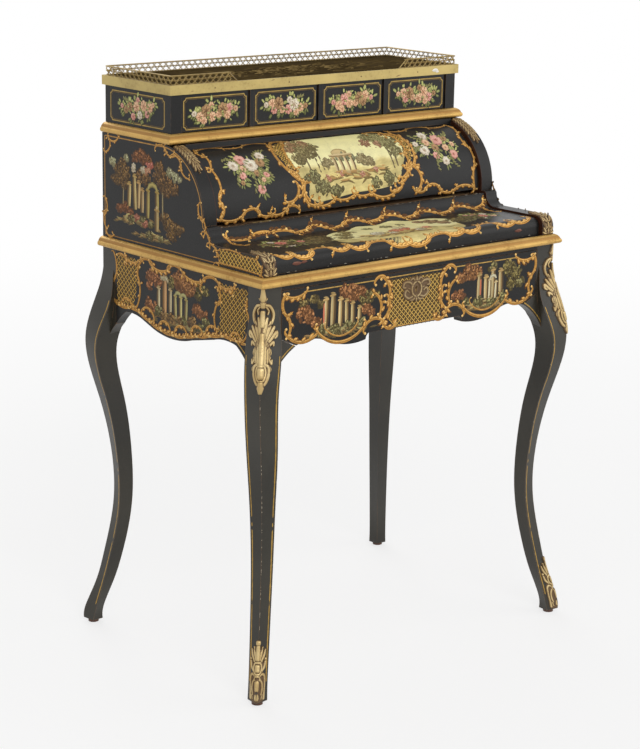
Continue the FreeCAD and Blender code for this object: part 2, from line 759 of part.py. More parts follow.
play_line = cheek_inside + side_play
keep("cylinder_shell", shaped("shell", "x", ring_part(inner_shell, shell_radius, -shell_low, shell_high),
                              play_line, -play_line))

quadrant_inside = play_line + quadrant_thickness
fan = shaped("fan", "x", [
    (*round_axis(inner_shell, shell_high), inner_shell), round_axis(inner_shell, quadrant_low),
    (axis_back + hub_radius / 3, axis_height - hub_radius / 3)], play_line, quadrant_inside)
hub = rod("hub", hub_radius, axis, "x", play_line, quadrant_inside)
hub_hole = rod("hub_hole", pin_radius + pin_play, axis, "x", play_line, quadrant_inside)
pair("cylinder_quadrant", cut("quadrant", fuse("quadrant_blank", [fan, hub]), hub_hole))

head_start = quadrant_inside + head_gap
pivot = fuse("pivot", [rod("pin", pin_radius, axis, "x", pin_end, head_start),
                       rod("pin_head", pin_head_radius, axis, "x", head_start, head_start + pin_head)])
keep("cylinder_pivots", group("pivots", [pivot, mirrored("pivot_twin", pivot)]))


# ---------------------------------------------------------------- flap and its hinges

lip_top = step_top - lip_sink
lip_back = floor_front - hinge_gap
flap_top = ledge_top - flap_sink
flap_front = front + flap_inset
flap_low = bed_top + flap_rest
lip_front = lip_back - lip_thickness
flap_flat_end = step_front - ledge_hollow
keep("flap_board", shaped("flap", "x", [
    (flap_front, flap_low), (flap_front + flap_thickness, flap_low),
    (flap_front + flap_thickness, flap_top - flap_thickness), (flap_flat_end, flap_top - flap_thickness),
    (lip_back, lip_top - lip_back_height), (lip_back, lip_top), (lip_front, lip_top, -(lip_top - flap_top)),
    (flap_flat_end, flap_top), (flap_front + flap_nose, flap_top, flap_nose),
    (flap_front, flap_top - flap_nose)], play_line, -play_line))

hinge_back = (lip_back + floor_front) / 2
hinge_top = floor_top + hinge_rise
hinge_axis = hinge_back, hinge_top
knuckle_clear = knuckle_radius + knuckle_gap
fixed_parts, moving_parts, pin_parts = [], [], []
for middle in (-hinge_spacing, as_size(0), hinge_spacing):
    start, end = middle - hinge_length / 2, middle + hinge_length / 2
    inner_start, inner_end = start + knuckle_part, end - knuckle_part
    outer_spans = (start, inner_start), (inner_end, end)
    middle_span = inner_start + knuckle_gap, inner_end - knuckle_gap
    leaf_z = hinge_top - leaf_height, hinge_top
    pin_parts.append(rod("hinge_pin", hinge_pin_radius, hinge_axis, "x", start, end))

    fixed_leaf = block("fixed_leaf", (start, end), (floor_front - leaf_thickness, floor_front), leaf_z)
    clear = rod("clear", knuckle_clear, hinge_axis, "x", inner_start, inner_end)
    knuckles = [rod("knuckle", knuckle_radius, hinge_axis, "x", *span) for span in outer_spans]
    blank = fuse("fixed_blank", [cut("fixed_plate", fixed_leaf, clear)] + knuckles)
    bore = rod("bore", hinge_pin_radius, hinge_axis, "x", start, end)
    fixed_parts.append(cut("fixed_half", blank, bore))

    moving_leaf = block("moving_leaf", (start, end), (lip_back, lip_back + leaf_thickness), leaf_z)
    clears = group("clears", [rod("clear", knuckle_clear, hinge_axis, "x", *span) for span in
                              ((start, middle_span[0]), (middle_span[1], end))])
    knuckle = rod("knuckle", knuckle_radius, hinge_axis, "x", *middle_span)
    blank = fuse("moving_blank", [cut("moving_plate", moving_leaf, clears), knuckle])
    bore = rod("bore", hinge_pin_radius + hinge_play, hinge_axis, "x", start, end)
    moving_parts.append(cut("moving_half", blank, bore))
keep("flap_hinges_fixed", group("fixed_halves", fixed_parts))
keep("flap_hinges_moving", group("moving_halves", moving_parts))
keep("flap_hinge_pins", group("hinge_pins", pin_parts))


# ---------------------------------------------------------------- small-drawer box

box_right, box_left = box_width / 2, box_width / -2
inner_left = box_left + box_side
box_back = back - back_thickness
keep("upper_board", block("under_board", (box_left, box_right), (box_front, back), (board_low, box_low)))
keep("upper_moulding", moulding("upper_profile", box_right, box_front, board_low))
pair("box_side", block("box_side", (box_left, inner_left), (box_front, back), (box_low, box_top)))
keep("box_back", block("box_panel", (inner_left, -inner_left), (box_back, back), (box_low, box_top)))

bay = (-inner_left * 2 - divider * 3) / 4
bay_starts = [inner_left + (bay + divider) * number for number in range(4)]
keep("box_dividers", group("dividers", [
    block("divider", (start - divider, start), (box_front, box_back), (box_low, box_top))
    for start in bay_starts[1:]]))

small_low, small_top = box_low + drawer_gap, box_top - drawer_gap
tray_low = box_low + rest_gap
face_front = box_front + small_front_sink
face_back = face_front + small_front_thickness
tray_back = box_back - tray_back_gap
tray_top = small_top - tray_drop
for number, start in enumerate(bay_starts, 1):
    face = start + drawer_gap, start + bay - drawer_gap
    keep(f"small_drawer_{number}_front", block("small_front", face, (face_front, face_back),
                                               (small_low, small_top)))
    wall = face[0] + drawer_gap, face[1] - drawer_gap
    tray = block("tray", wall, (face_back, tray_back), (tray_low, tray_top))
    room = block("room", (wall[0] + small_wall, wall[1] - small_wall), (face_back, tray_back - small_wall),
                 (tray_low + small_bottom, tray_top))
    keep(f"small_drawer_{number}_tray", cut("open_tray", tray, room))


# ---------------------------------------------------------------- top, band and gallery

top_side = box_left - top_overhang
top_front, top_back = box_front - top_overhang, back + top_overhang
gallery_low = box_top + top_thickness
keep("box_top", block("top", (top_side, -top_side), (top_front, top_back), (box_top, gallery_low)))

band_around = block("band_around", (top_side - band_thickness, band_thickness - top_side),
                    (top_front - band_thickness, top_back + band_thickness), (box_top, box_top + band_height))
band_inside = block("band_inside", (top_side, -top_side), (top_front, top_back),
                    (box_top, box_top + band_height))
keep("brass_band", cut("band", band_around, band_inside))

gallery_top = gallery_low + gallery_height
gallery_side = top_side + gallery_inset
gallery_front, gallery_back = top_front + gallery_inset, top_back - gallery_inset
return_end = gallery_side + gallery_return


def pierced(name, plane, corners, start, first, last):
    """A gallery plate with two rows of lozenges between two places along it."""
    body = shaped(name, plane, corners, start, start + gallery_thickness)
    sketch = sketch_in(body, plane, start)
    for middle in (gallery_low + piercing_edge, gallery_top - piercing_edge):
        draw(sketch, [(first, middle - piercing_half_height), (first + piercing_half_width, middle),
                      (first, middle + piercing_half_height), (first - piercing_half_width, middle)])
    pocket = body.newObject("PartDesign::Pocket", f"{name}_pocket")
    pocket.Profile = sketch
    pocket.Type = "ThroughAll"
    pocket.Midplane = True
    count = floor_of((last - first) / piercing_pitch) + 1
    row = body.newObject("PartDesign::LinearPattern", f"{name}_row")
    row.Originals = [pocket]
    row.Direction = (sketch, ["H_Axis"])
    bind(row, "Occurrences", count)
    bind(row, "Length", (count - 1) * piercing_pitch)
    body.Tip = row
    return body


def upright(low, high):
    return [(low, gallery_low), (high, gallery_low), (high, gallery_top), (low, gallery_top)]


side_plate = pierced("side_plate", "x", upright(gallery_front, gallery_back), gallery_side,
                     gallery_front + piercing_end, gallery_back - piercing_end)
plate_end = gallery_side + gallery_thickness
back_plate = pierced("back_plate", "y", upright(plate_end, -plate_end), gallery_back - gallery_thickness,
                     plate_end + piercing_end, -plate_end - piercing_end)
return_plate = pierced("return_plate", "y", [
    (plate_end, gallery_low), (return_end, gallery_low), (return_end - gallery_slope, gallery_top),
    (plate_end, gallery_top)], gallery_front, plate_end + piercing_end,
    return_end - gallery_slope - piercing_end)
keep("gallery", fuse("gallery_plates", [
    side_plate, mirrored("side_plate_twin", side_plate), back_plate,
    return_plate, mirrored("return_plate_twin", return_plate)]))


# ---------------------------------------------------------------- mounts

class Between:
    """The section of a leg between two stations."""

    def __init__(self, lower, upper, height):
        share = (height - lower.height) / (upper.height - lower.height)
        self.height = height
        for name in ("outer", "side", "inner", "half"):
            low, high = getattr(lower, name), getattr(upper, name)
            setattr(self, name, low + (high - low) * share)


class Head:
    """The square head of a leg, at any height."""

    def __init__(self, height):
        self.height = height
        self.outer, self.half = as_size(0), post / root(as_size(2))
        self.side, self.inner = -self.half, -self.half * 2


def blank_section(section, share):
    side = section.outer + (section.side - section.outer) * share + mount_edge
    return section.height, kite(section.outer + mount_thickness, side, section.outer - mount_root,
                                section.half * share + mount_edge)


def corner_mount(name, shapes):
    body = doc.addObject("PartDesign::Body", name)
    add_loft(body, [blank_section(section, share) for section, share in shapes])
    return cut(f"fitted_{name}", body, front_leg)


pair("knee_mount", corner_mount("knee_mount", [
    (knee, knee_mount_narrow), (shoulder, knee_mount_wide), (neck, knee_mount_wide),
    (Head(swell_top), knee_mount_wide),
    (Head(knee_mount_top), knee_mount_narrow * 2)]))
pair("toe_mount", corner_mount("toe_mount", [
    (Between(foot, toe, toe_mount_foot), toe_mount_wide * 1.4), (toe, toe_mount_wide * 1.2),
    (instep, toe_mount_wide), (Between(instep, shin, toe_mount_top), toe_mount_narrow)]))

leaf_x = left + leaf_mount_margin, cheek_inside - leaf_mount_margin
shoulder_leaf = shaped("shoulder_leaf", "x", ring_part(
    cheek_radius, cheek_radius + leaf_mount_thickness, shoulder_leaf_low, shoulder_leaf_high), *leaf_x)
keep("cheek_leaf_mounts", group("shoulder_leaves", [shoulder_leaf, mirrored("shoulder_twin", shoulder_leaf)]))

nose_middle = ledge_top - cheek_nose
nose_end = front + cheek_nose + nose_leaf_length
outer_nose = cheek_nose + leaf_mount_thickness
nose_leaf = shaped("nose_leaf", "x", [
    (front - leaf_mount_thickness, bed_top), (front, bed_top), (front, nose_middle, -cheek_nose),
    (front + cheek_nose, ledge_top), (nose_end, ledge_top), (nose_end, ledge_top + leaf_mount_thickness),
    (front + cheek_nose, ledge_top + leaf_mount_thickness, outer_nose),
    (front - leaf_mount_thickness, nose_middle)], *leaf_x)
keep("nose_mounts", group("nose_leaves", [nose_leaf, mirrored("nose_twin", nose_leaf)]))


# ---------------------------------------------------------------- checks and files

doc.recompute()
for thing in doc.Objects:
    if "Invalid" in thing.State or "Error" in thing.State:
        raise RuntimeError(f"{thing.Name} did not compute: {thing.State}")
for thing, name, number in bound:
    value = thing.getPropertyByName("Placement").Base if name.startswith("Placement") else None
    value = getattr(value, name[-1]) if value is not None else None
    if value is None and "." not in name:
        value = float(getattr(thing, name))
    if value is not None and abs(value - number) > 1e-6:
        raise RuntimeError(f"{thing.Name}.{name} is {value}, not {number}")

os.makedirs("parts", exist_ok=True)
for name, thing in nodes.items():
    shape = thing.Shape
    if shape.isNull() or not shape.isValid() or not shape.Solids:
        raise RuntimeError(f"{name} has no valid shape")
    shape.exportStep(f"parts/{name}.step")
    box = shape.BoundBox
    print(f"{name}: {len(shape.Solids)} solids, {shape.Volume / 1000:.1f} cm3, "
          f"x {box.XMin:.1f}..{box.XMax:.1f}, y {box.YMin:.1f}..{box.YMax:.1f}, z {box.ZMin:.1f}..{box.ZMax:.1f}")
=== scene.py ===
import math

import bpy
import numpy as np
from mathutils import Matrix, Vector


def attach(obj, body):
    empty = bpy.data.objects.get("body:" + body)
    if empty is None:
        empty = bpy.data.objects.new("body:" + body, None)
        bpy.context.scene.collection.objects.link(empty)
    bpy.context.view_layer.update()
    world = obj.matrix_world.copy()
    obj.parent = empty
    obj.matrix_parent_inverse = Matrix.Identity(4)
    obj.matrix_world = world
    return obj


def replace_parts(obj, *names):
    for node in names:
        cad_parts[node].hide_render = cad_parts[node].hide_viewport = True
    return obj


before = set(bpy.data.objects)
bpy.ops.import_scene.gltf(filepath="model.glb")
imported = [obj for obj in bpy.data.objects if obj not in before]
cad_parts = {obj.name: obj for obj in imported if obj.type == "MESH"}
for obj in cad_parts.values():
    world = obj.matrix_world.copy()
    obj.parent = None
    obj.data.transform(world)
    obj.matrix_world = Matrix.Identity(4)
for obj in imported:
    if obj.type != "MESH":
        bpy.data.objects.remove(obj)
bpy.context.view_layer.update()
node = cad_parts


# ---------------------------------------------------------------- the room
# A plain pale floor under soft studio light: a broad window of light from the left and front, a
# weaker one from the right and a small one behind. The camera stands left of the desk at eye height.

class Field:
    """A value that varies over a surface. + - and * add Math nodes behind it."""

    def __init__(self, finish, socket):
        self.finish, self.socket = finish, socket

    def join(self, operation, first, second):
        return self.finish.add("ShaderNodeMath", {"operation": operation}, [first, second])

    def __add__(self, other):
        return self.join("ADD", self, other)

    def __sub__(self, other):
        return self.join("SUBTRACT", self, other)

    def __mul__(self, other):
        return self.join("MULTIPLY", self, other)

    def __rsub__(self, other):
        return self.join("SUBTRACT", other, self)

    __radd__ = __add__
    __rmul__ = __mul__

    def step(self, low, high):
        """0 below low, 1 above high, and a smooth way between them."""
        return self.finish.add("ShaderNodeMapRange", {"interpolation_type": "SMOOTHSTEP"},
                               {"Value": self, "From Min": low, "From Max": high}, "Result")


class Finish:
    """A node material that is being put together."""

    def __init__(self, name):
        self.material = bpy.data.materials.new(name)
        self.material.use_nodes = True
        self.tree = self.material.node_tree
        self.shader = self.tree.nodes["Principled BSDF"]

    def give(self, socket, value):
        """Link a field to a socket, or set the socket to a plain value."""
        if isinstance(value, Field):
            self.tree.links.new(value.socket, socket)
        elif isinstance(value, tuple) and len(value) == 3 and socket.type == "RGBA":
            socket.default_value = (*value, 1)
        elif value is not None:
            socket.default_value = value

    def add(self, kind, settings, values, output=0):
        """Any node: its settings first, then the values or links of its sockets."""
        new = self.tree.nodes.new(kind)
        for name, setting in settings.items():
            setattr(new, name, setting)
        pairs = enumerate(values) if isinstance(values, list) else values.items()
        for key, value in pairs:
            self.give(new.inputs[key], value)
        return Field(self, new.outputs[output])

    def place(self, scale=(1, 1, 1)):
        """Object coordinates in metres, stretched by scale."""
        if not hasattr(self, "coordinates"):
            self.coordinates = self.add("ShaderNodeTexCoord", {}, {}, "Object")
        return self.add("ShaderNodeMapping", {}, {"Vector": self.coordinates, "Scale": scale})

    def axis(self, letter):
        return self.add("ShaderNodeSeparateXYZ", {}, [self.place()], letter)

    def noise(self, scale, stretch=(1, 1, 1), detail=3, roughness=0.5, bend=0.0):
        return self.add("ShaderNodeTexNoise", {}, {
            "Vector": self.place(stretch), "Scale": scale, "Detail": detail, "Roughness": roughness,
            "Distortion": bend}, "Fac")

    def cells(self, scale, feature="F1"):
        return self.add("ShaderNodeTexVoronoi", {"feature": feature},
                        {"Vector": self.place(), "Scale": scale}, "Distance")

    def mix(self, share, first, second):
        new = self.tree.nodes.new("ShaderNodeMix")
        new.data_type = "RGBA"
        self.give(new.inputs[0], share)
        self.give(new.inputs[6], first)
        self.give(new.inputs[7], second)
        return Field(self, new.outputs[2])

    def edges(self, radius):
        """1 along sharp edges, 0 on flats: how far a rounded normal leans from the true one."""
        rounded = self.add("ShaderNodeBevel", {"samples": 4}, {"Radius": radius}, "Normal")
        true = self.add("ShaderNodeNewGeometry", {}, {}, "Normal")
        lean = self.add("ShaderNodeVectorMath", {"operation": "DOT_PRODUCT"}, [rounded, true], "Value")
        return (1 - lean).step(0.004, 0.12)

    def relief(self, height, depth, strength):
        bump = self.add("ShaderNodeBump", {}, {"Height": height, "Distance": depth, "Strength": strength},
                        "Normal")
        self.give(self.shader.inputs["Normal"], bump)

    def set(self, **values):
        for name, value in values.items():
            self.give(self.shader.inputs[name.replace("_", " ").title().replace("Ior", "IOR")], value)
        return self.material


def floor_and_light():
    room = Finish("pale_floor")
    tone = room.noise(3.0, detail=2)
    room.set(base_color=room.mix(tone, (0.88, 0.88, 0.875), (0.9, 0.9, 0.895)), roughness=0.6)
    away = room.add("ShaderNodeVectorMath", {"operation": "LENGTH"}, [room.place((1, 1, 0))], "Value")
    seen = 0
    for kind in ("Is Camera Ray", "Is Glossy Ray", "Is Transmission Ray"):
        seen = room.add("ShaderNodeLightPath", {}, {}, kind) + seen
    white = room.add("ShaderNodeEmission", {}, {"Color": (1, 1, 1), "Strength": 1.0})
    plain = Field(room, room.shader.outputs[0])
    blend = room.add("ShaderNodeMixShader", {}, [(0.7 + away.step(0.7, 4.0) * 0.3) * seen, plain, white])
    room.tree.links.new(blend.socket, room.tree.nodes["Material Output"].inputs["Surface"])
    mesh = bpy.data.meshes.new("floor")
    reach = 14.0
    corners = [(-reach, -reach, 0), (reach, -reach, 0), (reach, reach, 0), (-reach, reach, 0)]
    mesh.from_pydata(corners, [], [(0, 1, 2, 3)])
    mesh.materials.append(room.material)
    floor = bpy.data.objects.new("floor", mesh)
    bpy.context.scene.collection.objects.link(floor)

    world = bpy.data.worlds.new("studio")
    world.use_nodes = True
    bpy.context.scene.world = world
    nodes, links = world.node_tree.nodes, world.node_tree.links
    ray = nodes.new("ShaderNodeLightPath")
    seen = ray.outputs["Is Camera Ray"]
    for kind in ("Is Glossy Ray", "Is Transmission Ray"):
        either = nodes.new("ShaderNodeMath")
        links.new(seen, either.inputs[0])
        links.new(ray.outputs[kind], either.inputs[1])
        seen = either.outputs[0]
    light_on_desk, light_seen = 0.5, 1.0
    strength = nodes.new("ShaderNodeMapRange")
    strength.inputs["To Min"].default_value = light_on_desk
    strength.inputs["To Max"].default_value = light_seen
    links.new(seen, strength.inputs["Value"])
    background = nodes["Background"]
    background.inputs["Color"].default_value = (1, 1, 1, 1)
    links.new(strength.outputs["Result"], background.inputs["Strength"])

    middle_of_desk = Vector((0, 0, 0.6))
    for name, place, size, power in (("key", (-1.35, -3.3, 3.0), 2.2, 62),
            ("fill", (2.6, -2.2, 1.8), 2.5, 20), ("back", (0.6, 2.6, 2.6), 1.8, 22)):
        lamp = bpy.data.lights.new(name, "AREA")
        lamp.size, lamp.energy = size, power
        lamp_object = bpy.data.objects.new(name, lamp)
        bpy.context.scene.collection.objects.link(lamp_object)
        aim = (middle_of_desk - Vector(place)).to_track_quat("-Z", "Y")
        lamp_object.matrix_world = Matrix.Translation(place) @ aim.to_matrix().to_4x4()


def stand_camera(place, yaw, pitch, roll, focal_pixels):
    """A level look along yaw and pitch, turned by roll about that look."""
    forward = Vector((math.sin(-yaw) * math.cos(pitch), math.cos(yaw) * math.cos(pitch), math.sin(pitch)))
    level = forward.cross(Vector((0, 0, 1))).normalized()
    upright = level.cross(forward)
    right = level * math.cos(roll) + upright * math.sin(roll)
    top = upright * math.cos(roll) - level * math.sin(roll)
    lens = bpy.data.cameras.new("camera")
    lens.sensor_fit, lens.sensor_width = "HORIZONTAL", 36
    picture_width = 640
    lens.lens = focal_pixels / picture_width * lens.sensor_width
    camera = bpy.data.objects.new("camera", lens)
    turn = Matrix((right, top, -forward)).transposed().to_4x4()
    camera.matrix_world = Matrix.Translation(place) @ turn
    bpy.context.scene.collection.objects.link(camera)
    bpy.context.scene.camera = camera


floor_and_light()
stand_camera(place=(-2.49435, -2.87813, 1.47277), yaw=-0.71005, pitch=-0.253167, roll=0.0183266,
             focal_pixels=2067.786)
bpy.context.scene.view_settings.view_transform = "Standard"


# ---------------------------------------------------------------- the carcase
# Oak boards veneered and japanned black: many coats of dark varnish, rubbed flat. With age the black has
# faded to charcoal, crazed finely, and worn through to warm brown along the arrises.

def japanned(name, charcoal=(0.0075, 0.0072, 0.0068), shine=0.24, bare_inside=False):
    black = Finish(name)
    cloud = black.noise(5.0, detail=4)
    fine = black.noise(60.0, detail=5, roughness=0.65)
    speck = black.noise(420.0, detail=2)
    crazing = black.cells(230.0, feature="DISTANCE_TO_EDGE").step(0.0, 0.05)
    edge = black.edges(0.0018) * (fine * 1.1 + cloud * 0.9 - 0.55).step(0.28, 0.62)
    faded = black.mix(cloud.step(0.35, 0.7), charcoal, tuple(1.8 * part for part in charcoal))
    dusty = black.mix((speck - 0.12).step(0.5, 0.62) * 0.35, faded, (0.06, 0.054, 0.044))
    cracked = black.mix((1 - crazing) * cloud * 0.4, dusty, (0.04, 0.033, 0.025))
    black.relief(crazing * 0.3 + fine * 0.7 + speck * 0.2, 0.00022, 0.5)
    colour = black.mix(edge, cracked, (0.16, 0.085, 0.04))
    if bare_inside:
        inner_face, outer_edge = 0.3236, 0.3246
        bare_wood = (0.045, 0.016, 0.009)
        from_middle = black.add("ShaderNodeMath", {"operation": "ABSOLUTE"}, [black.axis("X")])
        colour = black.mix(from_middle.step(inner_face, outer_edge), bare_wood, colour)
    return black.set(base_color=colour, roughness=0.2 + fine * 0.16 + cloud * 0.1 + edge * 0.25,
                     specular_ior_level=shine)


def cover(material, *names):
    """Give a material to pieces of the construction."""
    for name in names:
        piece = node[name]
        if not piece.material_slots:
            piece.data.materials.append(material)
        for slot in piece.material_slots:
            slot.link = "OBJECT"
            slot.material = material


lacquer = japanned("black_lacquer")
cover(lacquer, *node)
cover(japanned("cheek_lacquer", bare_inside=True), "cheek_left", "cheek_right")
cover(japanned("leg_lacquer", charcoal=(0.021, 0.0185, 0.0125), shine=0.4),
      *[name for name in node if name.startswith("leg_")])
cover(japanned("top_lacquer", charcoal=(0.05, 0.034, 0.015), shine=0.0), "box_top")


# ---------------------------------------------------------------- oak, leather and steel
# The frames and linings are plain oak, planed and left bare, brown with age. The pads under the feet and the
# writing surface are leather, and the lock and the pins are plain iron.

def bare_oak():
    oak = Finish("bare_oak")
    grain = oak.noise(30.0, stretch=(0.35, 3.0, 6.0), detail=6, roughness=0.6, bend=0.6)
    pores = oak.noise(300.0, stretch=(0.06, 1.0, 1.0), detail=2)
    cloud = oak.noise(3.0, detail=3)
    tone = oak.mix(grain.step(0.3, 0.7), (0.22, 0.12, 0.055), (0.36, 0.22, 0.11))
    tone = oak.mix(pores.step(0.55, 0.7) * 0.6, tone, (0.1, 0.055, 0.028))
    oak.relief(grain + pores, 0.0004, 0.5)
    return oak.set(base_color=oak.mix(cloud.step(0.3, 0.8) * 0.5, tone, (0.16, 0.09, 0.045)),
                   roughness=0.55 + grain * 0.25)


def dark_leather():
    leather = Finish("dark_leather")
    pebble = leather.cells(900.0)
    crease = leather.noise(90.0, detail=5, roughness=0.6)
    tone = leather.mix(crease.step(0.35, 0.65), (0.07, 0.028, 0.014), (0.13, 0.055, 0.028))
    leather.relief(pebble * 0.6 + crease, 0.0004, 0.6)
    return leather.set(base_color=leather.mix(pebble.step(0.3, 0.8) * 0.4, tone, (0.05, 0.022, 0.012)),
                       roughness=0.42 + crease * 0.25)


def worn_iron():
    iron = Finish("worn_iron")
    file_marks = iron.noise(500.0, stretch=(0.1, 1.0, 1.0), detail=3)
    spots = iron.noise(60.0, detail=4)
    iron.relief(file_marks, 0.0001, 0.4)
    return iron.set(base_color=iron.mix(spots.step(0.5, 0.65), (0.33, 0.32, 0.31), (0.13, 0.075, 0.045)),
                    metallic=0.9 - spots.step(0.5, 0.65) * 0.6, roughness=0.32 + file_marks * 0.25)


oak = bare_oak()
leather = dark_leather()
iron = worn_iron()
cover(oak, "back_rail", "drawer_runner_left", "drawer_runner_right", "upper_back", "box_back",
      "compartment_floor", "pigeonholes", "cylinder_quadrant_left", "cylinder_quadrant_right",
      "frieze_drawer_side_left", "frieze_drawer_side_right", "frieze_drawer_back", "frieze_drawer_bottom",
      *[name for name in node if name.startswith("small_drawer") and "tray" in name])
cover(leather, "foot_glides", "writing_leather")
cover(iron, "lock_body", "lock_bolt", "cylinder_pivots", "flap_hinge_pins")


# ---------------------------------------------------------------- gilt lines on the legs
# Bronze paint laid by brush over the lacquer: a line just inside the side arrises of the legs, and one along
# the curve of each front bracket. Each line has a bright ridge and a thin, browner rim: painted highlight and
# painted shade on the raised stroke.

def inside(outline, place):
    """Whether places lie inside a closed outline: a line from each to the right crosses it an odd number
    of times."""
    start, end = outline, np.roll(outline, -1)
    place = place[:, None]
    spans = (start.imag > place.imag) != (end.imag > place.imag)
    rise = np.where(end.imag == start.imag, 1e-9, end.imag - start.imag)
    crossing = start.real + (place.imag - start.imag) * (end.real - start.real) / rise
    return (spans & (place.real < crossing)).sum(1) % 2 == 1


class Painting:
    """Brushwork on one surface, as thin films of paint. A place on the surface is a complex number,
    across + 1j * up, in millimetres. Each film is a grid that swells in the middle and sinks at its rim,
    and each batch lies one coat higher than the last: on a rounded surface the coats are thicker, for the
    films cut its corners. Dabs that would run over the edge of the board are left out."""

    def __init__(self, seed, board=None, coat=0.002):
        self.board, self.coat = board, coat
        self.places, self.lifts, self.paints, self.faces = [], [], [], []
        self.count, self.height = 0, 0.05
        self.chance = np.random.default_rng(seed)

    def film(self, where, swell, paint):
        """Add a batch of grids: where is batch x rows x columns, swell is 0 at a rim and 1 on a ridge."""
        batch, rows, columns = where.shape
        corner = np.arange(rows * columns).reshape(rows, columns)
        quads = np.stack([corner[:-1, :-1], corner[1:, :-1], corner[1:, 1:], corner[:-1, 1:]], -1)
        starts = self.count + np.arange(batch)[:, None, None] * rows * columns
        self.faces.append((quads.reshape(1, -1, 4) + starts).reshape(-1, 4))
        lift = -0.04 + (self.height + 0.08 + self.chance.random((batch, 1, 1)) * self.coat) * swell
        self.places.append(where.ravel())
        self.lifts.append(np.broadcast_to(lift, where.shape).ravel())
        self.paints.append(np.broadcast_to(paint, (*where.shape, 4)).reshape(-1, 4))
        self.count += where.size
        self.height += self.coat

    def line(self, path, width, ridge=(0.62, 0.33, 0.07), rim=(0.13, 0.055, 0.014), metal=0.45):
        """A long stroke: the path, moved to both sides along its normal by half the width."""
        heading = np.gradient(path)
        heading = heading / np.maximum(abs(heading), 1e-9)
        reach = np.array([-1, -0.62, 0, 0.62, 1])
        half = np.broadcast_to(width, path.shape)[:, None] / 2
        where = path[:, None] + 1j * heading[:, None] * half * reach
        ridge, rim = np.array([*ridge, metal]), np.array([*rim, metal / 2])
        # The colours across run from a dark rim to bright bands beside the middle: painted shade at the edges
        # of the stroke and a painted highlight along it.
        share = np.array([0, 0.9, 0.62, 1, 0])[:, None]
        streak = 0.8 + 0.4 * self.chance.random((len(path), 1, 1)) * np.array([1, 1, 1, 0])
        streak[..., 3] = 1
        self.film(where[None], (1 - reach ** 4)[None, None], (rim + (ridge - rim) * share)[None] * streak)

    def dabs(self, place, length, width, angle, bend, paint, metal=0.0, taper=0.75):
        """Short strokes, many at once: each a curved path of its length, as wide as a sine over it to the
        power of its taper. Across, a stroke is flat with steep rims."""
        place, length, width, angle, bend = np.broadcast_arrays(
            *[np.atleast_1d(part) for part in (place, length, width, angle, bend)])
        if self.board is not None:
            ends = length / 2 * np.exp(1j * angle)
            kept = inside(self.board, place + ends) & inside(self.board, place - ends)
            place, length, width, angle, bend = (part[kept] for part in (place, length, width, angle, bend))
            paint = paint[kept] if np.ndim(paint) > 1 and len(paint) == len(kept) else paint
            if not len(place):
                return
        along = np.linspace(0, 1, 5)
        heading = np.exp(1j * (angle[:, None] + bend[:, None] * (along - 0.5)))
        path = np.cumsum(heading, 1) - heading / 2
        path = (path - path.mean(1, keepdims=True)) * length[:, None] / 4.2 + place[:, None]
        swell = np.sin(np.pi * (0.04 + 0.92 * along)) ** taper
        reach = np.array([-1, -0.78, 0.78, 1])
        aside = reach * (width[:, None, None] / 2 * swell[None, :, None])
        where = path[:, :, None] + 1j * heading[:, :, None] * aside
        paint = np.broadcast_to(paint, (len(place), 3))
        # Across each dab the colour runs from darker to lighter: painted light falling on the stroke from one
        # side.
        shade = np.array([0.74, 0.86, 1.12, 1.2])[None, None, :, None]
        tones = np.clip(paint[:, None, None, :] * shade, 0, 1) * np.ones((1, 5, 1, 1))
        colours = np.concatenate([tones, np.full((len(place), 5, 4, 1), metal)], -1)
        self.film(where, (abs(reach) < 1)[None, None] * np.minimum(3.5 * swell, 1)[None, :, None], colours)

    def hang(self, name, place, body, material=None):
        """Carry the films to the surface: place gives the point for across, up and lift."""
        where, lift = np.concatenate(self.places), np.concatenate(self.lifts)
        points = place(where.real, where.imag, lift) / 1000
        outward = place(where.real, where.imag, lift + 1) / 1000 - points
        faces = np.concatenate(self.faces)
        a, b, c, d = (points[faces[:, corner]] for corner in range(4))
        inside_out = (np.cross(c - a, d - b) * outward[faces[:, 0]]).sum(1) < 0
        faces[inside_out] = faces[inside_out, ::-1]
        piece = make(name, points, faces, body, material or brushwork)
        paint = piece.data.color_attributes.new("paint", "FLOAT_COLOR", "POINT")
        paint.data.foreach_set("color", np.concatenate(self.paints).astype(np.float32).ravel())
        return piece


def make(name, points, faces, body, material):
    """A piece from an array of points in metres and an array of faces."""
    mesh = bpy.data.meshes.new(name)
    mesh.from_pydata(points.tolist(), [], faces.tolist())
    mesh.polygons.foreach_set("use_smooth", np.ones(len(faces), bool))
    mesh.materials.append(material)
    piece = bpy.data.objects.new(name, mesh)
    bpy.context.scene.collection.objects.link(piece)
    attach(piece, body)
    return piece


def brushed_paint(name="brushwork", shine=0.2):
    paint = Finish(name)
    colour = paint.add("ShaderNodeAttribute", {"attribute_name": "paint"}, {}, "Color")
    metal = paint.add("ShaderNodeAttribute", {"attribute_name": "paint"}, {}, "Alpha")
    bristle = paint.noise(700.0, detail=3)
    age = paint.noise(45.0, detail=4, roughness=0.6)
    rubbed = paint.mix((age - 0.1).step(0.45, 0.65) * 0.22, colour, (0.05, 0.034, 0.018))
    paint.relief(bristle + age, 0.00012, 0.5)
    return paint.set(base_color=paint.mix(bristle.step(0.4, 0.85) * 0.16, rubbed, (0.08, 0.048, 0.02)),
                     metallic=metal * (0.75 + age * 0.5), roughness=0.36 + bristle * 0.2,
                     specular_ior_level=shine)


brushwork = brushed_paint()


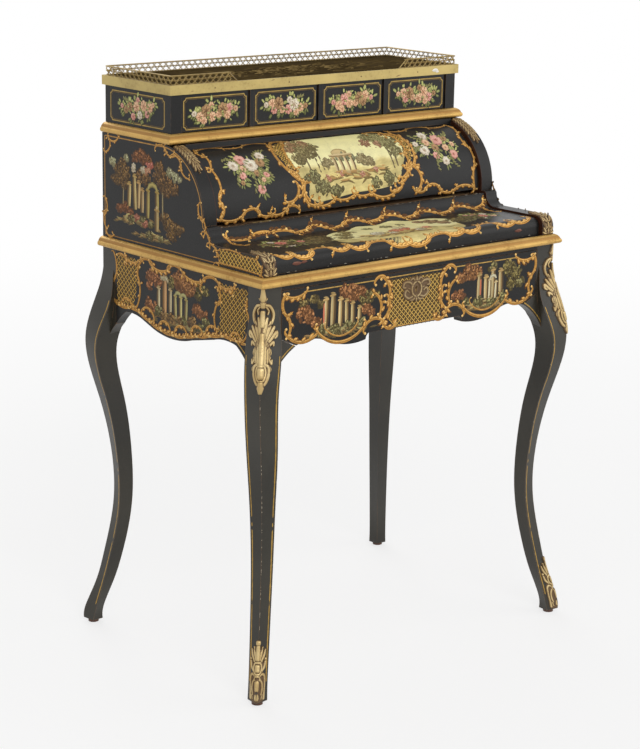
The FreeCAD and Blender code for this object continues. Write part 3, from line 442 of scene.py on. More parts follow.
def scroll(start, end, bulge, curls, size=0.13):
    """An arc from start to end that swells aside by bulge times its chord, and runs on at both ends into
    shrinking spirals of curls turns. The headings are running sums of small turns, and the points are
    running sums of steps along them."""
    points = 36
    arc = 4 * math.atan(2 * abs(bulge))
    turns, radii = [np.full(points, arc / points)], [np.full(points, 0.5 / math.sin(arc / 2))]
    first = 0
    for curl, at_start in zip(curls, (True, False)):
        if curl > 0:
            turned = np.linspace(0, 2 * math.pi * curl, int(8 + 20 * curl))
            spiral = size * np.exp(-0.33 * turned)
            turns.insert(0 if at_start else len(turns), np.full(len(turned), turned[1]))
            radii.insert(0 if at_start else len(radii), spiral[::-1] if at_start else spiral)
            first = len(turned) if at_start else first
    turns, radii = np.concatenate(turns), np.concatenate(radii)
    path = np.cumsum(radii * turns * np.exp(1j * np.cumsum(turns)))
    path = path - path[first]
    path = path / path[first + points - 1]
    path = path if bulge > 0 else path.conj()
    return start + path * (end - start)


# The dark brown laid under and round bronze strokes is painted shade at their rims.
rim_shade = (0.11, 0.045, 0.012)


def tuft(painting, place, angle, size, paint):
    """Three leaf tips in bronze paint, opening like a fan about one direction."""
    fan = 0.6
    turn = np.linspace(-fan, fan, 3)
    length = size * (1 - 0.3 * abs(turn) / fan) * (0.85 + 0.3 * painting.chance.random(3))
    spot = place + np.exp(1j * (angle + turn * 0.8)) * length * 0.42
    # A wider dark dab under each tip shows round it as painted shade.
    painting.dabs(spot, length, size * 0.36, angle + turn, turn * 0.9, rim_shade, 0.2)
    painting.dabs(spot, length * 0.94, size * 0.26, angle + turn, turn * 0.9, paint, 0.45)


def gilt(painting, path, width, leaves, side, reach=2.6, glow=1.0):
    """A scroll in bronze paint, thick in the middle, with a bead on each end. Curled leaf lobes grow from
    its outer side, and a spray of tips closes it."""
    if painting.board is not None:
        edge = np.exp(1j * np.angle(1j * np.gradient(path))) * width * 0.62
        kept = np.flatnonzero(inside(painting.board, path + edge) & inside(painting.board, path - edge))
        path = path[kept[0]:kept[-1] + 1] if len(kept) > 12 else path
    along = np.linspace(0, 1, len(path))
    swell = 0.34 + 0.66 * np.sin(np.pi * along) ** 0.8
    gold = tuple(glow * part for part in (0.6, 0.3, 0.06))
    lit = tuple(glow * part for part in (0.84, 0.54, 0.19))
    if leaves:
        where = np.linspace(0.24, 0.8, leaves) * (len(path) - 1)
        spot = where.astype(int)
        heading = np.angle(np.gradient(path))[spot]
        length = width * reach * (0.8 + 0.4 * painting.chance.random(leaves))
        angle = heading + side * 0.55
        tip = path[spot] + np.exp(1j * angle) * length * 0.34
        # Each lobe is a dark underlay, a gold dab and a thin light dab over it: painted shade round it and a
        # painted highlight.
        painting.dabs(tip, length * 1.04, width * 1.3, angle, -side * 1.5, rim_shade, 0.2)
        painting.dabs(tip + 0.08j * width, length * 0.94, width * 1.05, angle, -side * 1.5, gold, 0.4)
        painting.dabs(tip + 0.2j * width, length * 0.74, width * 0.34, angle, -side * 1.5, lit, 0.45)
    # The scroll has a dark rim, a dark line just below its middle and a light line just above: painted shade
    # under the stroke and a painted highlight on top.
    painting.line(path, width * 1.15 * swell, ridge=gold, rim=rim_shade)
    shade_below = path - 0.16j * width
    painting.line(shade_below, width * swell * 0.2, ridge=(0.16, 0.065, 0.016), rim=(0.26, 0.11, 0.026))
    painting.line(path + 0.2j * width, width * swell * 0.3, ridge=lit, rim=gold)
    # Both beads are painted in the light tone, as highlights.
    painting.dabs(path[[0, -1]], width * 0.9, width * 0.85, 0, 0, lit, 0.45)
    if leaves:
        tuft(painting, path[-1], np.angle(path[-1] - path[-6]) + 0.5 * side, width * 1.7, gold)


half_width, half_depth = 352, 235.5     # from the middle of the desk to the outer faces of its posts


def leg_face(hand, back=1):
    """One outward face of a leg: across runs from the arris along the front (or back) face when positive
    and along the side face when negative, and up is the height. back is 1 at the front, -1 at the back."""
    def place(across, up, lift):
        outer, side, half = (eased(up, values) for values in (leg_outer, leg_side, leg_half))
        length = np.hypot(half, outer - side)
        way, share = np.sign(across), abs(across) / length
        lean = np.arctan2(half, outer - side)
        off = way * (share * half + lift * np.cos(lean))
        out = outer - share * (outer - side) + lift * np.sin(lean)
        return np.stack([hand * (half_width - (off - out) / 2 ** 0.5),
                         back * (-half_depth - (off + out) / 2 ** 0.5), up], -1)
    return place


leg_heights = np.array([6, 45, 60, 90, 115, 140, 180, 220, 250, 300, 350, 400, 450, 500, 540, 566, 590, 610,
    630, 650, 670, 690, 740.0])
leg_outer = np.array([44, 35, 28.6, 17, 9.8, 4, -5, -12.5, -16, -16.7, -12, -3, 10, 25.3, 33.9, 35, 31.7,
    26.3, 19.6, 12.4, 6, 1.4, 0])
leg_side = np.array([22, 13, 8.8, 0.5, -5.9, -12, -21, -28, -31, -31.1, -27, -20.4, -10, 3.7, 9.9, 8, 0.8,
    -7.4, -15, -20.1, -22, -26.5, -28.28])
leg_half = np.array([17.5, 17, 17.1, 17.4, 17.7, 18, 18.6, 19.4, 20, 21.2, 23, 25.4, 27.5, 28.6, 29.3, 30,
    31, 31.5, 31.4, 30.3, 28, 28.28, 28.28])


def cubic(t, start, end, start_slope, end_slope):
    """The cubic from start to end over t from 0 to 1, with the given slopes at its ends."""
    return ((2 * t ** 3 - 3 * t ** 2 + 1) * start + (t ** 3 - 2 * t ** 2 + t) * start_slope
            + (3 * t ** 2 - 2 * t ** 3) * end + (t ** 3 - t ** 2) * end_slope)


def eased(height, values):
    """Leg sizes between the given heights, by cubics whose slopes are the mean slopes at those heights."""
    slope = np.gradient(values, leg_heights)
    first = np.clip(np.searchsorted(leg_heights, height) - 1, 0, len(leg_heights) - 2)
    span = leg_heights[first + 1] - leg_heights[first]
    return cubic((height - leg_heights[first]) / span, values[first], values[first + 1],
                 span * slope[first], span * slope[first + 1])


def front_face(ahead):
    """A flat face that looks to the front, so far ahead of the middle of the desk."""
    return lambda across, up, lift: np.stack([across, -ahead - lift, up], -1)


line_gold = (0.56, 0.35, 0.08)
for leg, hand, back, sides in (("front_left", -1, 1, (1, -1)), ("front_right", 1, 1, (1, -1)),
        ("back_left", -1, -1, (-1,)), ("back_right", 1, -1, (-1,))):
    foot, head = 7, (622 if back > 0 else 642)
    heights = np.linspace(foot, head, 144)
    face_width = np.hypot(eased(heights, leg_half), eased(heights, leg_outer) - eased(heights, leg_side))
    for side in sides:
        lines = Painting(seed=3)
        lines.line(side * (face_width - 4.2) + 1j * heights, 2.6, ridge=line_gold)
        if side * back > 0:
            spots = lines.chance.random((3, 46))
            lines.dabs(0.7 + 1j * (130 + 425 * spots[0]), 1.2 + 7 * spots[1] ** 3, 0.7 + 0.7 * spots[2],
                math.pi / 2, 0, (0.42, 0.36, 0.27))
            lines.dabs(face_width[::9] - 0.6 + 1j * heights[::9], 1 + 4 * spots[0, :16] ** 2, 0.9,
                math.pi / 2, 0, (0.4, 0.33, 0.24))
        lines.hang(f"leg_line_{leg}_{'front' if side > 0 else 'side'}", leg_face(hand, back), "case")
bracket_centre, bracket_radius = -218.2+515.1j, 134.2
bend = bracket_centre + bracket_radius * np.exp(1j * np.radians(np.linspace(118.5, 155, 30)))
ears = Painting(seed=4)
for mirror in (1, -1):
    ears.line(bend if mirror > 0 else -bend.conj(), 2.4, ridge=line_gold)
ears.hang("ear_lines_front", front_face(half_depth), "case")


# ---------------------------------------------------------------- painted side aprons
# Each side apron is japanned like the legs. Scrolls in bronze paint frame a net of lozenges at both ends and
# a dark field in the middle, where ruined arches stand among trees in oil colours.

def trellis(painting, outline, cell=11.0, width=1.45, paint=(0.8, 0.5, 0.11)):
    """A net of lozenges inside an outline: the sides of the lozenges run from crossing to crossing, and
    only those whose middle is inside are painted. Each lozenge has a dot in its heart."""
    outline = np.asarray(outline)
    half = cell / 2
    across = np.arange(outline.real.min() - cell, outline.real.max() + cell, half)
    up = np.arange(outline.imag.min() - cell, outline.imag.max() + cell, half)
    first, second = np.meshgrid(np.arange(len(across)), np.arange(len(up)), indexing="ij")
    place = (across[first] + 1j * up[second]).ravel()
    crossings = place[((first + second) % 2 == 0).ravel()]
    hearts = place[((first + second) % 2 == 1).ravel()]
    for way in (1, -1):
        middle = crossings + half * (way + 1j) / 2
        middle = middle[inside(outline, middle)]
        painting.dabs(middle, half * 1.8, width, math.atan2(1, way), 0.0, paint, 0.25)
    hearts = hearts[inside(outline, hearts)]
    painting.dabs(hearts, half * 1.5, half * 1.3, 0, 0, (0.07, 0.04, 0.01))
    painting.dabs(hearts, width, width * 0.8, 0.6, 0.0, tuple(0.6 * part for part in paint), 0.4)


def leafage(painting, clouds, dark, light, density=0.75, size=6.4):
    """Leaves dabbed in clouds of place and radius. The upper side of a cloud is lighter."""
    places = np.array([cloud[0] for cloud in clouds])
    radii = np.array([cloud[1] for cloud in clouds], float)
    counts = np.maximum((density * radii ** 2 / 3).astype(int), 5)
    which = np.repeat(np.arange(len(clouds)), counts)
    chance = painting.chance
    spread = chance.random(len(which)) ** 0.62 * np.exp(2j * np.pi * chance.random(len(which)))
    spread = spread * np.where(chance.random(len(which)) > 0.86, 1.4, 1.0)
    order = np.argsort(spread.imag - 0.3 * spread.real + 0.5 * chance.random(len(which)))[::-1]
    which, spread = which[order], spread[order]
    spread = spread.real + 0.78j * spread.imag
    light_share = np.clip(0.42 + 0.5 * spread.imag - 0.25 * spread.real
                          + 0.35 * chance.standard_normal(len(which)), 0, 1)[:, None] ** 1.5
    paint = np.array(dark) + (np.array(light) - np.array(dark)) * light_share
    paint = paint * (0.8 + 0.4 * chance.random((len(which), 1))) * (1.0, 0.94 + 0.12 * chance.random(), 1.0)
    under = chance.random(len(which)) < 0.4
    painting.dabs((places[which] + 0.9 * spread * radii[which])[under], size * 2.0, size * 1.5,
                  (6.3 * chance.random(len(which)))[under], 0.3, np.array(dark) * 0.8)
    painting.dabs(places[which] + spread * radii[which], size * (0.6 + 0.8 * chance.random(len(which))),
                  size * (0.5 + 0.35 * chance.random(len(which))), 2 * np.pi * chance.random(len(which)),
                  chance.normal(0, 0.7, len(which)), paint)


def columns(painting, shafts, width, stone=(0.58, 0.46, 0.23), arches=()):
    """Broken columns and arches: a shaft is a long dab with a lit side and a dark side, an arch a bent
    one."""
    shafts = np.array(shafts, float)
    middle = shafts[:, 0] + 0.5j * (shafts[:, 1] + shafts[:, 2])
    length = shafts[:, 2] - shafts[:, 1]
    lean = np.pi / 2 + painting.chance.normal(0, 0.03, len(shafts))
    painting.dabs(middle + 0.15 * width, length * 1.02, width * 1.05, lean, 0, (0.1, 0.06, 0.022), taper=0.2)
    warm = np.array(stone) * (0.8 + 0.4 * painting.chance.random((len(shafts), 1)))
    painting.dabs(middle - 0.08 * width, length, width * 0.8, lean, 0.04, warm * (0.8, 0.66, 0.5), taper=0.15)
    painting.dabs(middle - 0.18 * width, length * 0.98, width * 0.5, lean, 0.06, warm, taper=0.15)
    painting.dabs(middle - 0.26 * width, length * 0.8, width * 0.2, lean, 0.04, warm * 1.35, taper=0.3)
    top = shafts[:, 0] + 1j * shafts[:, 2]
    painting.dabs(top - 0.1j * width, width * 1.25, width * 0.42, 0.1, 0, warm * (0.9, 0.74, 0.55), taper=0.3)
    painting.dabs(top + 0.25j * width, width, width * 0.34, -0.1, 0, warm * (0.7, 0.6, 0.45))
    for left, right, height in arches:
        span = right - left
        bow = (left + right) / 2 + 1j * (height + span * 0.22)
        for part, tone in ((0.95, 0.5), (0.6, 0.95)):
            painting.dabs(bow, span * 1.5, width * part, 0, -2.6, np.array(stone) * tone, taper=0.3)


def ground(painting, middle, wide, tall, count=60, pale=1.0):
    """The island that a ruin stands on: long flat dabs, pale stones on top and dark moss under them."""
    chance = painting.chance
    x, y = chance.normal(0, 0.42, count), -chance.random(count)
    for tone, part in (((0.12, 0.085, 0.03), 1.0), ((0.26, 0.155, 0.055), 0.7), ((0.38, 0.31, 0.12), 0.35)):
        keep = chance.random(count) < part
        painting.dabs((middle + wide * np.clip(x, -1, 1) + 1j * tall * y)[keep], wide * 0.26, tall * 0.26,
                      chance.normal(0, 0.25, count)[keep], chance.normal(0, 0.6, count)[keep],
                      np.array(tone) * pale * (0.7 + 0.6 * chance.random((count, 1)))[keep])
        x, y = x * 0.92, y + 0.18


def smooth_path(*points, count=26):
    """A curve through points: each stretch is a cubic whose slope at a point is that between its
    neighbours."""
    points = np.array(points, complex)
    slope = np.gradient(points) if len(points) > 2 else np.repeat(points[1] - points[0], 2)
    step = np.linspace(0, len(points) - 1, count)
    first = np.minimum(step.astype(int), len(points) - 2)
    return cubic(step - first, points[first], points[first + 1], slope[first], slope[first + 1])


def end_face(hand, out):
    """A flat face that looks to the left (hand -1) or to the right (1), so far out from the middle."""
    return lambda across, up, lift: np.stack([hand * (out + lift), across, up], -1)


net_gold = (0.72, 0.42, 0.07)
russet = ((0.14, 0.055, 0.018), (0.6, 0.27, 0.1))
olive = ((0.07, 0.05, 0.015), (0.4, 0.3, 0.1))
moss = ((0.09, 0.07, 0.022), (0.42, 0.37, 0.15))

apron_edge = np.array([195+737j, 195+600j, 180+614j, 163+628j, 137+632j, 110+623j, 82+613j, 52+606j,
    22+604j, -8+606j, -38+613j, -101+627j, -132+632j, -163+628j, -180+614j, -195+600j, -195+737j])
apron = Painting(seed=7, board=apron_edge)
trellis(apron, [194+732j, 120+730j, 126+700j, 131+665j, 139+641j, 163+640j, 196+637j, 190+685j],
    paint=net_gold)
trellis(apron, [-112+730j, -155+726j, -193+731j, -194+702j, -191+672j, -180+636j, -141+636j, -112+640j,
    -120+675j, -112+711j], paint=net_gold)
leafage(apron, [(84+707j, 16), (64+700j, 13), (92+690j, 9)], *russet)
leafage(apron, [(-2+710j, 20), (-36+708j, 17), (-22+700j, 16), (10+712j, 13)], *russet)
leafage(apron, [(-62+710j, 11), (-76+706j, 9), (28+706j, 13), (-54+696j, 9)], *olive)
leafage(apron, [(92+654j, 12), (76+648j, 13), (-52+668j, 14), (-72+664j, 10)], *russet)
ground(apron, 2+642j, 88, 17)
columns(apron, [(62, 650, 690), (27, 646, 692)], 10, stone=(0.64, 0.56, 0.34))
columns(apron, [(44, 640, 710)], 14, stone=(0.64, 0.38, 0.17))
columns(apron, [(12, 646, 684), (-4, 646, 684), (-20, 644, 682)], 9, stone=(0.5, 0.45, 0.19),
    arches=[(-4, 12, 684), (-20, -4, 683)])
leafage(apron, [(50+711j, 6), (40+709j, 5)], (0.46, 0.36, 0.2), (0.8, 0.72, 0.48), 1.3, 5)
leafage(apron, [(48+640j, 12), (24+640j, 11), (0+640j, 10), (-38+646j, 12)], (0.1, 0.052, 0.018),
    (0.48, 0.27, 0.1))
leafage(apron, [(-76+652j, 9), (-14+642j, 9), (64+648j, 9), (-60+640j, 8)], *moss)
for start, end, bulge, leaves in ((203+712j, 166+728j, 0.3, 3), (162+727j, 118+733j, -0.18, 4),
        (120+727j, 82+731j, 0.2, 3), (86+728j, 28+731j, -0.16, 5), (32+734j, -8+731j, 0.16, 3),
        (-4+734j, -64+722j, -0.14, 5), (-62+716j, -110+730j, 0.24, 4), (-106+733j, -154+727j, -0.18, 4),
        (-152+724j, -197+733j, 0.22, 3)):
    gilt(apron, scroll(start, end, bulge, (0.3, 0.3), 0.17), 5.6, leaves, -1 if bulge > 0 else 1)
foot = smooth_path(203+646j, 190+637j, 166+635j, 137+637j, 110+629j, 82+619j, 52+612j, 22+610j, -8+612j,
    -38+619j, -70+625j, -101+632j, -132+637j, -166+635j, -190+634j, count=252)
for number in range(12):
    gilt(apron, foot[21 * number:21 * number + 24], 6.4, 3, -1, 2.4)
for start, end, bulge in ((112+641j, 76+629j, 0.3), (60+624j, 28+619j, 0.3), (14+619j, -20+624j, 0.3),
        (-34+627j, -66+634j, 0.3), (-78+637j, -108+645j, 0.25), (176+646j, 146+645j, 0.25),
        (-146+641j, -176+643j, 0.25)):
    gilt(apron, scroll(start, end, bulge, (0.35, 0.35), 0.18), 4.6, 3, 1)
for start, end, bulge in ((116+728j, 122+690j, -0.2), (122+694j, 130+642j, 0.12),
        (-110+720j, -113+690j, 0.25), (-112+694j, -104+650j, -0.14), (199+730j, 196+686j, 0.12),
        (196+690j, 203+646j, -0.12), (-197+728j, -196+684j, -0.12), (-195+688j, -184+640j, 0.16)):
    gilt(apron, scroll(start, end, bulge, (0.3, 0.3), 0.15), 4.4, 3, 1)
apron.line(np.flip(bend + 116.5), 2.4, ridge=line_gold)
for side, hand in (("left", -1), ("right", 1)):
    apron.hang(f"apron_painting_{side}", end_face(hand, half_width), "case")


# ---------------------------------------------------------------- painted frieze drawer
# The drawer front is japanned. Bronze scrolls frame two dark fields with ruins, and a net of lozenges in the
# middle around the keyhole.

frieze_edge = np.array([-310+730j, -310+647j, -277+632.5j, -240+637j, -222+636j, -200+627j, -176+615.5j,
    -160+613j, -140+614j, -119+621j, -110+631.5j])
frieze_edge = np.concatenate([frieze_edge, -frieze_edge[::-1].conj()])
frieze = Painting(seed=21, board=frieze_edge)
for start, end in ((-262+723j, -100+723j), (-76+724j, 66+724j), (96+724j, 262+723j)):
    frieze.line(np.linspace(start, end, 40), 2.4, ridge=(0.6, 0.38, 0.1))
trellis(frieze, [-60+720j, 62+720j, 57+700j, 58+680j, 68+660j, 60+640j, 52+633j, -52+633j, -60+642j,
    -68+662j, -62+680j, -57+700j], cell=10.0)
for mirror in (1, -1):
    def turned(place):
        return place if mirror > 0 else -np.conj(place)

    clouds = ([(-262+686j, 15), (-248+676j, 12), (-232+664j, 12)], [(-150+708j, 19), (-130+703j, 15),
        (-170+712j, 12), (-118+676j, 12), (-104+668j, 9)], [(-108+700j, 10), (-120+692j, 12),
        (-96+696j, 7)], [(-262+704j, 9), (-240+708j, 10), (-222+696j, 8)])
    if mirror < 0:
        clouds = ([(-135+712j, 17), (-118+702j, 13), (-150+706j, 15)], [(-238+708j, 17), (-256+694j, 15),
            (-246+678j, 14)], [(-112+668j, 13), (-98+672j, 9)], [(-196+712j, 10), (-268+676j, 10)])
    hues = (russet, russet, olive, olive) if mirror > 0 else (russet, olive, russet, moss)
    for group, hue in zip(clouds, hues):
        leafage(frieze, [(turned(place), radius) for place, radius in group], *hue)
    ground(frieze, turned(-176+650j), 76, 15)
    shafts = ((-212, 650, 704), (-196, 654, 710), (-178, 650, 700)) if mirror > 0 else ((-160, 652, 702),
        (-178, 654, 696), (-196, 654, 708), (-216, 656, 704))
    columns(frieze, [(mirror * x, low, high) for x, low, high in shafts], 11.5)
    if mirror > 0:
        columns(frieze, [(-164, 652, 696), (-150, 654, 690), (-134, 652, 680)], 9.5, stone=(0.6, 0.47, 0.22))
    else:
        columns(frieze, [(204, 652, 684), (188, 654, 690)], 8, stone=(0.66, 0.6, 0.4),
            arches=[(188, 204, 690)])
    frieze.dabs([turned(shafts[0][0] - 4 + 678j)], 50, 4.5, math.pi / 2, 0, (0.6, 0.17, 0.09))
    leafage(frieze, [(turned(place), radius) for place, radius in
                     ((-222+652j, 11), (-190+646j, 12), (-158+650j, 11), (-128+654j, 9))], *moss)
    for start, end, bulge, size, width, leaves, side in ((-258+722j, -304+722j, -0.16, 0.16, 6.2, 4, 1),
            (-304+722j, -300+686j, 0.2, 0.15, 6.2, 3, -1), (-304+690j, -297+648j, -0.22, 0.16, 6.2, 3, 1),
            (-300+652j, -232+645j, 0.2, 0.1, 6.2, 5, 1), (-232+651j, -120+647j, 0.24, 0.06, 6.2, 0, 1),
            (-212+651j, -138+652j, 0.24, 0.1, 3.4, 0, 1), (-122+640j, -76+646j, -0.26, 0.16, 6.2, 4, 1),
            (-98+722j, -70+720j, -0.3, 0.2, 6.2, 3, 1), (-76+724j, -66+682j, -0.2, 0.13, 6.2, 4, 1),
            (-66+690j, -78+650j, -0.24, 0.16, 6.2, 4, 1), (-84+664j, -98+700j, 0.2, 0.12, 6.2, 3, -1),
            (-78+644j, -50+634j, 0.22, 0.18, 6.2, 3, 1)):
        path = scroll(start, end, bulge, (0.3, 0.3), size)
        gilt(frieze, turned(path), width, leaves, side * mirror)
frieze.line(np.linspace(-52+633j, 52+633j, 20), 2.0, ridge=(0.6, 0.34, 0.08))
frieze.hang("frieze_painting", front_face(half_depth), "frieze_drawer")


# ---------------------------------------------------------------- painted cheeks
# The cheeks close the upper part at both sides. On the outside a thin bronze line with scroll leaves follows
# the edge, a tall ruin stands among trees, and a net of lozenges fills the low front part.

cheek = Painting(seed=33)
autumn = ((0.07, 0.037, 0.013), (0.37, 0.2, 0.065))
rust = ((0.12, 0.048, 0.017), (0.44, 0.19, 0.07))
leafage(cheek, [(132+916j, 12), (112+920j, 15), (96+914j, 13)], *rust)
leafage(cheek, [(174+900j, 13), (184+884j, 15), (164+882j, 15), (192+870j, 12), (168+864j, 13)], *autumn)
leafage(cheek, [(62+906j, 13), (54+895j, 13), (68+889j, 11), (118+883j, 15), (98+880j, 13)], *autumn)
leafage(cheek, [(56+878j, 12), (36+880j, 15), (20+874j, 13), (40+865j, 13), (8+872j, 8)], *autumn)
leafage(cheek, [(204+899j, 9), (160+912j, 7), (29+901j, 8), (14+897j, 9), (2+893j, 6)], (0.27, 0.23, 0.12),
    (0.76, 0.71, 0.44))
leafage(cheek, [(182+816j, 9), (166+822j, 12), (150+814j, 10)], *rust)
leafage(cheek, [(32+807j, 17), (14+802j, 14), (44+818j, 11), (26+790j, 12), (-4+805j, 8)], *autumn)
ground(cheek, 128+806j, 66, 14, count=40, pale=1.15)
ground(cheek, 84+783j, 66, 11, count=34, pale=1.15)
columns(cheek, [(170, 826, 856), (50, 818, 862)], 4, stone=(0.34, 0.28, 0.14))
columns(cheek, [(151, 824, 866), (134, 820, 882)], 11, stone=(0.6, 0.47, 0.2))
columns(cheek, [(111, 818, 860), (122, 824, 872)], 11, stone=(0.58, 0.42, 0.2))
columns(cheek, [(94, 810, 862), (66, 828, 862)], 11, stone=(0.5, 0.4, 0.13), arches=[(66, 94, 862)])
columns(cheek, [(67, 790, 830)], 13, stone=(0.56, 0.42, 0.18))
cheek.dabs([67+834j], 9, 7, 1.57, 0, (0.6, 0.46, 0.22))
leafage(cheek, [(139+893j, 6), (138+898j, 6), (109+897j, 6)], (0.5, 0.42, 0.25), (0.82, 0.75, 0.54), 1.4, 5)
leafage(cheek, [(98+895j, 6), (90+898j, 5)], (0.45, 0.2, 0.1), (0.8, 0.5, 0.3), 1.4, 5)
leafage(cheek, [(92+907j, 5), (84+907j, 6)], (0.45, 0.13, 0.08), (0.84, 0.36, 0.26), 1.4, 5)
leafage(cheek, [(128+806j, 8), (102+799j, 8)], (0.26, 0.09, 0.045), (0.6, 0.27, 0.16))
leafage(cheek, [(144+802j, 9), (112+806j, 8), (86+800j, 8), (90+780j, 8), (56+778j, 8)], *moss)
axis_y, axis_z = 52, 828            # a cheek's upper edge is round the axis of the cylinder
curve = np.exp(1j * np.linspace(np.pi / 2, np.pi, 40))
rim = np.concatenate([np.linspace(228+761j, 228+944j, 40)[1:], np.linspace(224+945j, 54+945j, 40),
                      axis_y + 1j * axis_z + 117.5 * curve, [-68+818j, -75+814.5j],
                      -107+817j + 28.5 * np.exp(-1j * np.linspace(0.15, np.pi / 2, 14))])
cheek.line(rim, 2.4, ridge=(0.56, 0.3, 0.08))
cheek.line(np.linspace(228+762.5j, -106+762.5j, 60), 1.8, ridge=(0.46, 0.24, 0.06))
for start, end, bulge, leaves in ((226+915j, 214+941j, -0.3, 3), (216+942j, 186+944j, -0.22, 3),
        (227+830j, 227+800j, 0.2, 2), (227+806j, 226+776j, -0.2, 2), (224+768j, 204+762j, -0.25, 3),
        (70+943j, 40+940j, 0.2, 3), (44+943j, 16+932j, -0.2, 3), (20+935j, -6+915j, 0.2, 3),
        (-2+919j, -24+898j, -0.18, 2), (-56+858j, -64+830j, -0.18, 3), (-62+836j, -72+806j, 0.24, 3),
        (-70+812j, -88+790j, 0.24, 3), (-84+794j, -108+778j, 0.2, 4), (-104+784j, -114+764j, 0.2, 2)):
    gilt(cheek, scroll(start, end, bulge, (0.3, 0.35), 0.19), 3.6, leaves, -1 if bulge > 0 else 1, 2.2)
trellis(cheek, [-114+789j, -212+789j, -225+784j, -230+775j, -231+763j, -114+763j], cell=10.0)
for start, end, bulge in ((-112+786j, -170+789j, 0.06), (-166+790j, -218+788j, -0.07),
        (-216+789j, -231+774j, -0.2), (-230+776j, -229+762j, 0.1), (-112+764j, -228+762j, 0.01)):
    gilt(cheek, scroll(start, end, bulge, (0.2, 0.2), 0.1), 3.2, 3, -1, 1.8)
for side, hand in (("left", -1), ("right", 1)):
    cheek.hang(f"cheek_painting_{side}", end_face(hand, half_width), "case")


# ---------------------------------------------------------------- painted cylinder
# The quarter-round shutter is built of staves and japanned. In the middle a scene in oil colours fills a
# cartouche of bronze scrolls, a bouquet lies on either side, and a scrolled border runs along the edges.

def roses(painting, blooms, light, dark):
    """Roses dabbed in rings over a dark round: seven wide petals outside, then six, then four, and three
    dark ones in the heart. Each ring is turned by chance."""
    blooms = np.array(blooms, complex)
    centre, radius = blooms[:, 0], blooms[:, 1].real
    light, dark = np.array(light), np.array(dark)
    painting.dabs(centre, radius * 2.1, radius * 1.9, 0.4, 0, dark * 0.7 + light * 0.1)
    for petals, out, size, share in ((7, 0.74, 0.86, 0.8), (6, 0.5, 0.8, 1.05), (4, 0.27, 0.56, 0.72),
            (3, 0.12, 0.36, 0.25)):
        turn = (np.arange(petals) * 2 * np.pi / petals)[None] + painting.chance.random((len(centre), 1)) * 6
        place = centre[:, None] + radius[:, None] * out * np.exp(1j * turn)
        tone = share + 0.3 * (np.sin(turn + 0.6) * 0.6 + painting.chance.random(turn.shape) - 0.5)
        paint = dark + (light - dark) * np.clip(tone, 0, 1.25)[..., None]
        painting.dabs(place.ravel(), np.broadcast_to(radius[:, None] * size, turn.shape).ravel(),
                      np.broadcast_to(radius[:, None] * size * 0.6, turn.shape).ravel(),
                      (turn + np.pi / 2).ravel(), 1.5, np.clip(paint.reshape(-1, 3), 0, 1))


def greenery(painting, places, length, spread, count):
    """Leaves and fine stems that stand out all round a bloom, light on the side of the light."""
    places = np.array(places, complex)
    centre, radius = np.repeat(places[:, 0], count), np.repeat(places[:, 1].real, count)
    turn = painting.chance.random(len(centre)) * 2 * np.pi
    size = length * (0.6 + 0.7 * painting.chance.random(len(centre)))
    place = centre + (radius * 0.85 + size * 0.4) * spread * np.exp(1j * turn)
    tone = (0.45 + 0.4 * np.sin(turn) + 0.35 * painting.chance.random(len(centre)))[:, None]
    paint = np.array((0.09, 0.1, 0.03)) + np.array((0.42, 0.42, 0.15)) * np.clip(tone, 0, 1)
    painting.dabs(place, size * 1.05, size * 0.5, turn, 0.5, (0.04, 0.045, 0.015))
    painting.dabs(place, size, size * 0.4, turn, 0.5, paint)
    painting.dabs(place, size * 0.8, size * 0.07, turn, 0.5, paint * 1.5)


def bouquet(painting, blooms, stems, leaf):
    """Blooms are rows of place, radius and kind of rose: pink, peach, cream, brown or red."""
    kinds = {"pink": ((0.84, 0.44, 0.35), (0.45, 0.1, 0.07)),
             "peach": ((0.88, 0.56, 0.34), (0.45, 0.17, 0.08)),
             "cream": ((0.86, 0.76, 0.6), (0.45, 0.3, 0.17)),
             "brown": ((0.5, 0.3, 0.14), (0.13, 0.055, 0.025)),
             "red": ((0.78, 0.29, 0.22), (0.38, 0.06, 0.04))}
    for start, end, bulge in stems:
        path = scroll(start, end, bulge, (0, 0))
        painting.line(path, 1.2, ridge=(0.2, 0.19, 0.07), rim=(0.05, 0.045, 0.02), metal=0)
        painting.dabs(path[::6], leaf * 0.9, leaf * 0.36, np.angle(np.gradient(path))[::6] + 0.7, 0.6,
                      (0.26, 0.24, 0.09))
    painting.height = 0.08
    greenery(painting, [(place, radius) for place, radius, kind in blooms], leaf, 1.12, 8)
    for kind, (light, dark) in kinds.items():
        chosen = [(place, radius) for place, radius, name in blooms if name == kind]
        if chosen:
            roses(painting, chosen, light, dark)
    greenery(painting, [(place, radius) for place, radius, kind in blooms], leaf * 0.7, 1.0, 2)


